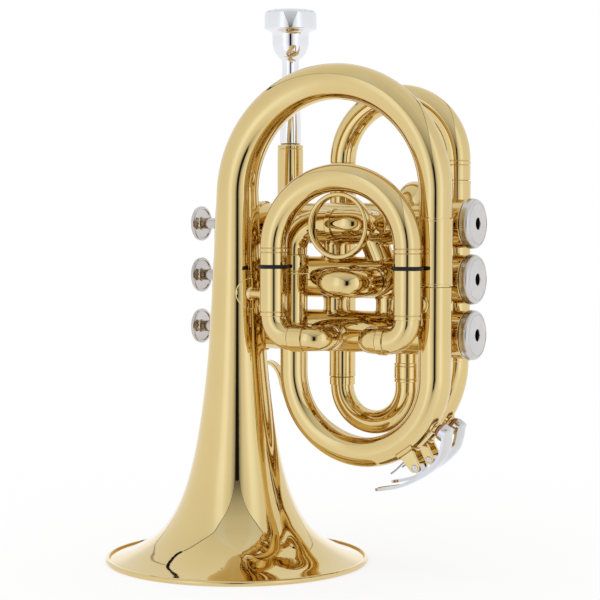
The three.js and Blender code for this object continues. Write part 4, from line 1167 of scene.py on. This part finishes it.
def makeLoopBrace(size):
    legSpot = Vector((thirdSlide["right"], thirdSlide["plane"], size["height"]))
    loopSpot = Vector((bell["span"], bell["plane"], size["height"]))
    along = (loopSpot - legSpot).normalized()
    near = thirdOuter["radius"] - size["sink"]
    far = (loopSpot - legSpot).length - frontBow["radii"][0] + size["sink"]
    line = [(0, near), *edgeLine(size["edge"], size["radius"], near),
            *reversed(edgeLine(size["edge"], size["radius"], far, -1)), (0, far)]
    makePiece("loopBrace", turnedSkin(line, along, legSpot, facets["post"]), ["loop_brace"], bevel=0)


# Finger hook: a strap laid round the leadpipe's bow, then curled outward
hook = {
    "thick": 1.6,
    "width": 5.2,
    "crown": 0.1,
    "bevel": 0.3,
    "gap": 0.5,
    "foot": (214, 206, 198, 194),
    "reach": 16.25,
    "curlShares": ((-0.09, 0.21), (-0.26, 0.39), (-0.5, 0.47), (-0.75, 0.41), (-0.94, 0.2), (-1, -0.1)),
}


def makeHook(size):
    rear = KeyPlace("rear", keys["rear"])
    lift = leadpipe["bowRadii"][0] + size["gap"] + size["thick"] / 2
    foot = [rear.middle + rear.out(turn) * (rear.round + lift) for turn in size["foot"]]
    curl = [foot[-1] + Vector((out, 0, up)) * size["reach"] for out, up in size["curlShares"]]
    line = smoothThrough([*foot, *curl], facets["curve"])
    makePiece("fingerHook", stripSkin(line, size["thick"], size["width"], size["crown"]), ["finger_hook"],
              bevel=size["bevel"])


makeBellBrace(bellBrace)
makeLoopBrace(loopBrace)
makeHook(hook)
print("braces and hook soldered")

# CAD nodes that stay: pistons and valve springs inside the casings
innerFinishes = {"piston": "nickelSilver", "valve_spring": "springSteel"}
for name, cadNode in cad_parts.items():
    for start, finish in innerFinishes.items():
        if name.startswith(start):
            cadNode.data.materials.clear()
            cadNode.data.materials.append(finishes[finish])
print("inner nodes finished")

# Studio, in metres: white floor and world, and a light tent that only shows in the metal
studio = {
    "floorSize": 6.0,
    "plainShare": 0.76,
    "paperGlow": 1.02,
    "paperFront": (0.37, 0.43),  # where the paper ends in front of the lens gap
    "frontTurns": (4.2, 6.2),  # how wide that dark end is, in degrees
    "paperReach": (0.12, 0.6),  # up to where metal shows the paper plain, and from where it shows the walls
    "tentRadius": 0.8,
    "tentFoot": 0.001,
    "tentSplits": 5,
    "eyeLevel": 0.03,  # the roof's shape is given as seen from this height, the flare's
    "leastRise": 0.01,
    "tone": (1.0, 1.07, 1.2, 1),
    "stripTone": (1.0, 1.13, 1.4, 1),
    # wall levels by turn from the lens, in degrees; the strips are the two brightest stops
    "wall": ((0, 0.012), (4.5, 0.012), (6.5, 0.38), (11, 0.65), (17, 0.93), (25, 1.03), (36, 1.25),
             (43, 1.22), (54, 1.05), (70, 1.01), (110, 1.0), (180, 1.01)),
    "wallFade": 0.14,
    "lensDark": 0.012,
    "stripTurns": (25, 34, 45, 56),
    "doorway": (148, 1.15, 0.2, 0.32),  # the opening behind: its edge in degrees, level, and where it ends
    "doorSeam": (0.55, 0.5),  # half width in degrees, and level
    # roof panel: half its width and its level, by reach toward the lens, both per unit of height
    "roofWidth": ((-0.55, 0.69), (0.1, 0.69), (0.6, 0.64), (1.0, 0.56), (1.45, 0.44), (1.78, 0.35),
                  (2.1, 0.29), (2.4, 0.26)),
    "roofSteps": 3,
    "roofSpan": (-1.4, 2.6),
    "roofRound": (-0.55, 0.95),  # where the panel's far end starts to round off, and how blunt it is
    "roofLevel": ((-1.3, 0.98), (-0.3, 0.91), (0.3, 0.82), (0.95, 0.7), (1.55, 0.49), (2.3, 0.17)),
    "seam": (0.013, 0.32),
    "gap": (0.03, 0.01),
}
white = (1, 1, 1, 1)
lensTurn = math.radians(lensView["azimuth"])
toward = Vector((math.sin(lensTurn), -math.cos(lensTurn), 0))
right = Vector((math.cos(lensTurn), math.sin(lensTurn), 0))


class Cloth:
    # a node tree built one step at a time; a step's values are numbers or other steps

    def __init__(self, tree):
        self.tree = tree

    def feed(self, source, target):
        if hasattr(source, "links"):
            wire(self.tree, source, target)
        else:
            target.default_value = source

    def work(self, operation, *values):
        node = self.tree.nodes.new("ShaderNodeMath")
        node.operation = operation
        for value, socket in zip(values, node.inputs):
            self.feed(value, socket)
        return node.outputs[0]

    def dot(self, vector, way):
        node = self.tree.nodes.new("ShaderNodeVectorMath")
        node.operation = "DOT_PRODUCT"
        wire(self.tree, vector, node.inputs[0])
        node.inputs[1].default_value = way
        return node.outputs["Value"]

    def curve(self, value, stops, low, high):
        # a level read from stops, whose places run from low to high
        reach = addNode(self.tree, "ShaderNodeMapRange", **{"From Min": low, "From Max": high})
        self.feed(value, reach.inputs["Value"])
        ramp = self.tree.nodes.new("ShaderNodeValToRGB")
        elements = ramp.color_ramp.elements
        elements.remove(elements[1])
        for k, (place, level) in enumerate(stops):
            stop = elements[0] if k == 0 else elements.new((place - low) / (high - low))
            stop.position = (place - low) / (high - low)
            stop.color = (level, level, level, 1)
        wire(self.tree, reach.outputs["Result"], ramp.inputs["Fac"])
        return ramp.outputs["Color"]

    def turnOver(self, value, near, far, before, after, end=1):
        # one level up to near, another from far on
        return self.curve(value, ((0, before), (near, before), (far, after), (end, after)), 0, end)

    def blend(self, share, first, second):
        # numbers and colours have their own sockets on the node
        node = self.tree.nodes.new("ShaderNodeMix")
        node.data_type = "RGBA" if isinstance(first, tuple) else "FLOAT"
        a, b, result = (6, 7, 2) if isinstance(first, tuple) else (2, 3, 0)
        for value, socket in ((share, 0), (first, a), (second, b)):
            self.feed(value, node.inputs[socket])
        return node.outputs[result]

    def length(self, first, second):
        squares = (self.work("MULTIPLY", value, value) for value in (first, second))
        return self.work("SQRT", self.work("ADD", *squares))

    def near(self, value, width):
        return self.work("LESS_THAN", self.work("ABSOLUTE", value), width)

    def walls(self, size):
        # the walls' level and tone by their turn from the lens
        place = onObject(self.tree)
        sideways, ahead = self.dot(place, right), self.dot(place, toward)
        around = self.work("ABSOLUTE", self.work("ARCTAN2", sideways, ahead))
        degrees = self.work("MULTIPLY", around, halfTurn / math.pi)
        start, rise, fall, end = size["stripTurns"]
        strip = self.curve(degrees, ((start, 0), (rise, 1), (fall, 1), (end, 0)), 0, halfTurn)
        tint = self.blend(strip, size["tone"], size["stripTone"])
        return place, sideways, ahead, degrees, self.curve(degrees, size["wall"], 0, halfTurn), tint


def makeFloor(size):
    half = size["floorSize"] / 2
    mesh = bpy.data.meshes.new("floor")
    corners = [(-half, -half, 0), (half, -half, 0), (half, half, 0), (-half, half, 0)]
    mesh.from_pydata(corners, [], [(0, 1, 2, 3)])
    floor = bpy.data.objects.new("floor", mesh)
    paper, tree, shader = startFinish("whitePaper")
    shader.inputs["Base Color"].default_value = white
    shader.inputs["Roughness"].default_value = 1
    shader.inputs["Specular IOR Level"].default_value = 0
    # seen directly it is mostly plain white with a share of the trumpet's shadow; in metal it joins the walls
    cloth = Cloth(tree)
    ray = tree.nodes.new("ShaderNodeLightPath")
    mirrored = cloth.work("MAXIMUM", ray.outputs["Is Glossy Ray"], ray.outputs["Is Transmission Ray"])
    _, sideways, ahead, degrees, wall, tint = cloth.walls(size)
    away = cloth.length(sideways, ahead)
    joined = cloth.turnOver(away, *size["paperReach"], 0, 1)
    front = cloth.work("MULTIPLY", cloth.turnOver(away, *size["paperFront"], 0, 1),
                       cloth.turnOver(degrees, *size["frontTurns"], 1, 0, halfTurn))
    glow = cloth.blend(front, cloth.blend(joined, size["paperGlow"], wall), size["lensDark"])
    plain = tree.nodes.new("ShaderNodeEmission")
    wire(tree, cloth.blend(mirrored, 1.0, glow), plain.inputs["Strength"])
    wire(tree, cloth.blend(mirrored, white, tint), plain.inputs["Color"])
    mix = tree.nodes.new("ShaderNodeMixShader")
    share = cloth.blend(cloth.work("MAXIMUM", joined, front), size["plainShare"], 1.0)
    direct = cloth.work("MULTIPLY", ray.outputs["Is Camera Ray"], size["plainShare"])
    wire(tree, cloth.work("MULTIPLY_ADD", mirrored, share, direct), mix.inputs[0])
    wire(tree, shader.outputs[0], mix.inputs[1])
    wire(tree, plain.outputs[0], mix.inputs[2])
    wire(tree, mix.outputs[0], tree.nodes["Material Output"].inputs["Surface"])
    mesh.materials.append(paper)
    bpy.context.scene.collection.objects.link(floor)


def makeWorld():
    world = bpy.data.worlds.new("whiteRoom")
    world.use_nodes = True
    sky = world.node_tree.nodes["Background"]
    sky.inputs["Color"].default_value = white
    sky.inputs["Strength"].default_value = 1
    bpy.context.scene.world = world


def makeTent(size):
    # two side walls with a dark gap for the lens, and a roof panel that narrows toward that gap
    mesh = bpy.data.meshes.new("lightTent")
    shell = bmesh.new()
    bmesh.ops.create_icosphere(shell, subdivisions=size["tentSplits"], radius=size["tentRadius"])
    bmesh.ops.bisect_plane(shell, geom=shell.verts[:] + shell.edges[:] + shell.faces[:],
                           plane_co=(0, 0, size["tentFoot"]), plane_no=(0, 0, -1), clear_outer=True)
    shell.to_mesh(mesh)
    shell.free()
    tent = bpy.data.objects.new("lightTent", mesh)
    material = bpy.data.materials.new("tentCloth")
    material.use_nodes = True
    tree = material.node_tree
    tree.nodes.clear()
    cloth = Cloth(tree)
    place, sideways, ahead, degrees, wall, tint = cloth.walls(size)
    height = cloth.work("SUBTRACT", cloth.dot(place, zAxis), size["eyeLevel"])
    height = cloth.work("MAXIMUM", height, size["leastRise"])
    # the walls fade a little with height, and open on the white paper behind
    rise = cloth.work("DIVIDE", height, size["tentRadius"])
    wallGlow = cloth.work("MULTIPLY", wall, cloth.work("MULTIPLY_ADD", rise, -size["wallFade"], 1.0))
    edge, bright, low, high = size["doorway"]
    behind = cloth.work("GREATER_THAN", degrees, edge)
    door = cloth.work("MULTIPLY", cloth.turnOver(rise, low, high, 1, 0), behind)
    wallGlow = cloth.blend(door, wallGlow, bright)
    width, dim = size["doorSeam"]
    seam = cloth.near(cloth.work("SUBTRACT", degrees, edge), width)
    wallGlow = cloth.work("MULTIPLY", wallGlow, cloth.blend(seam, 1.0, dim))
    # the roof panel, a seam along its edge, and a dark gap along its far end
    out, reach = cloth.work("DIVIDE", sideways, height), cloth.work("DIVIDE", ahead, height)
    start, blunt = size["roofRound"]
    back = cloth.work("MULTIPLY", cloth.work("MINIMUM", cloth.work("SUBTRACT", reach, start), 0), blunt)
    line = smoothThrough([(along, half, 0) for along, half in size["roofWidth"]], size["roofSteps"])
    half = cloth.curve(reach, [(point.x, point.y) for point in line], *size["roofSpan"])
    past = cloth.work("SUBTRACT", cloth.length(out, back), half)
    within = cloth.work("LESS_THAN", reach, size["roofWidth"][-1][0])
    inside = cloth.work("MULTIPLY", cloth.work("LESS_THAN", past, 0), within)
    level = cloth.blend(inside, wallGlow, cloth.curve(reach, size["roofLevel"], *size["roofSpan"]))
    width, dim = size["seam"]
    seam = cloth.work("MULTIPLY", cloth.near(past, width), within)
    level = cloth.work("MULTIPLY", level, cloth.blend(seam, 1.0, dim))
    width, dark = size["gap"]
    gap = cloth.work("MULTIPLY", cloth.near(past, width), cloth.work("LESS_THAN", reach, start))
    level = cloth.blend(gap, level, dark)
    glow = tree.nodes.new("ShaderNodeEmission")
    wire(tree, tint, glow.inputs["Color"])
    wire(tree, level, glow.inputs["Strength"])
    result = tree.nodes.new("ShaderNodeOutputMaterial")
    wire(tree, glow.outputs[0], result.inputs["Surface"])
    material.cycles.emission_sampling = "NONE"
    mesh.materials.append(material)
    bpy.context.scene.collection.objects.link(tent)
    tent.visible_camera = False
    tent.visible_diffuse = False
    tent.visible_shadow = False


makeFloor(studio)
makeWorld()
makeTent(studio)
bpy.context.scene.view_settings.view_transform = "Standard"
print("studio lit")
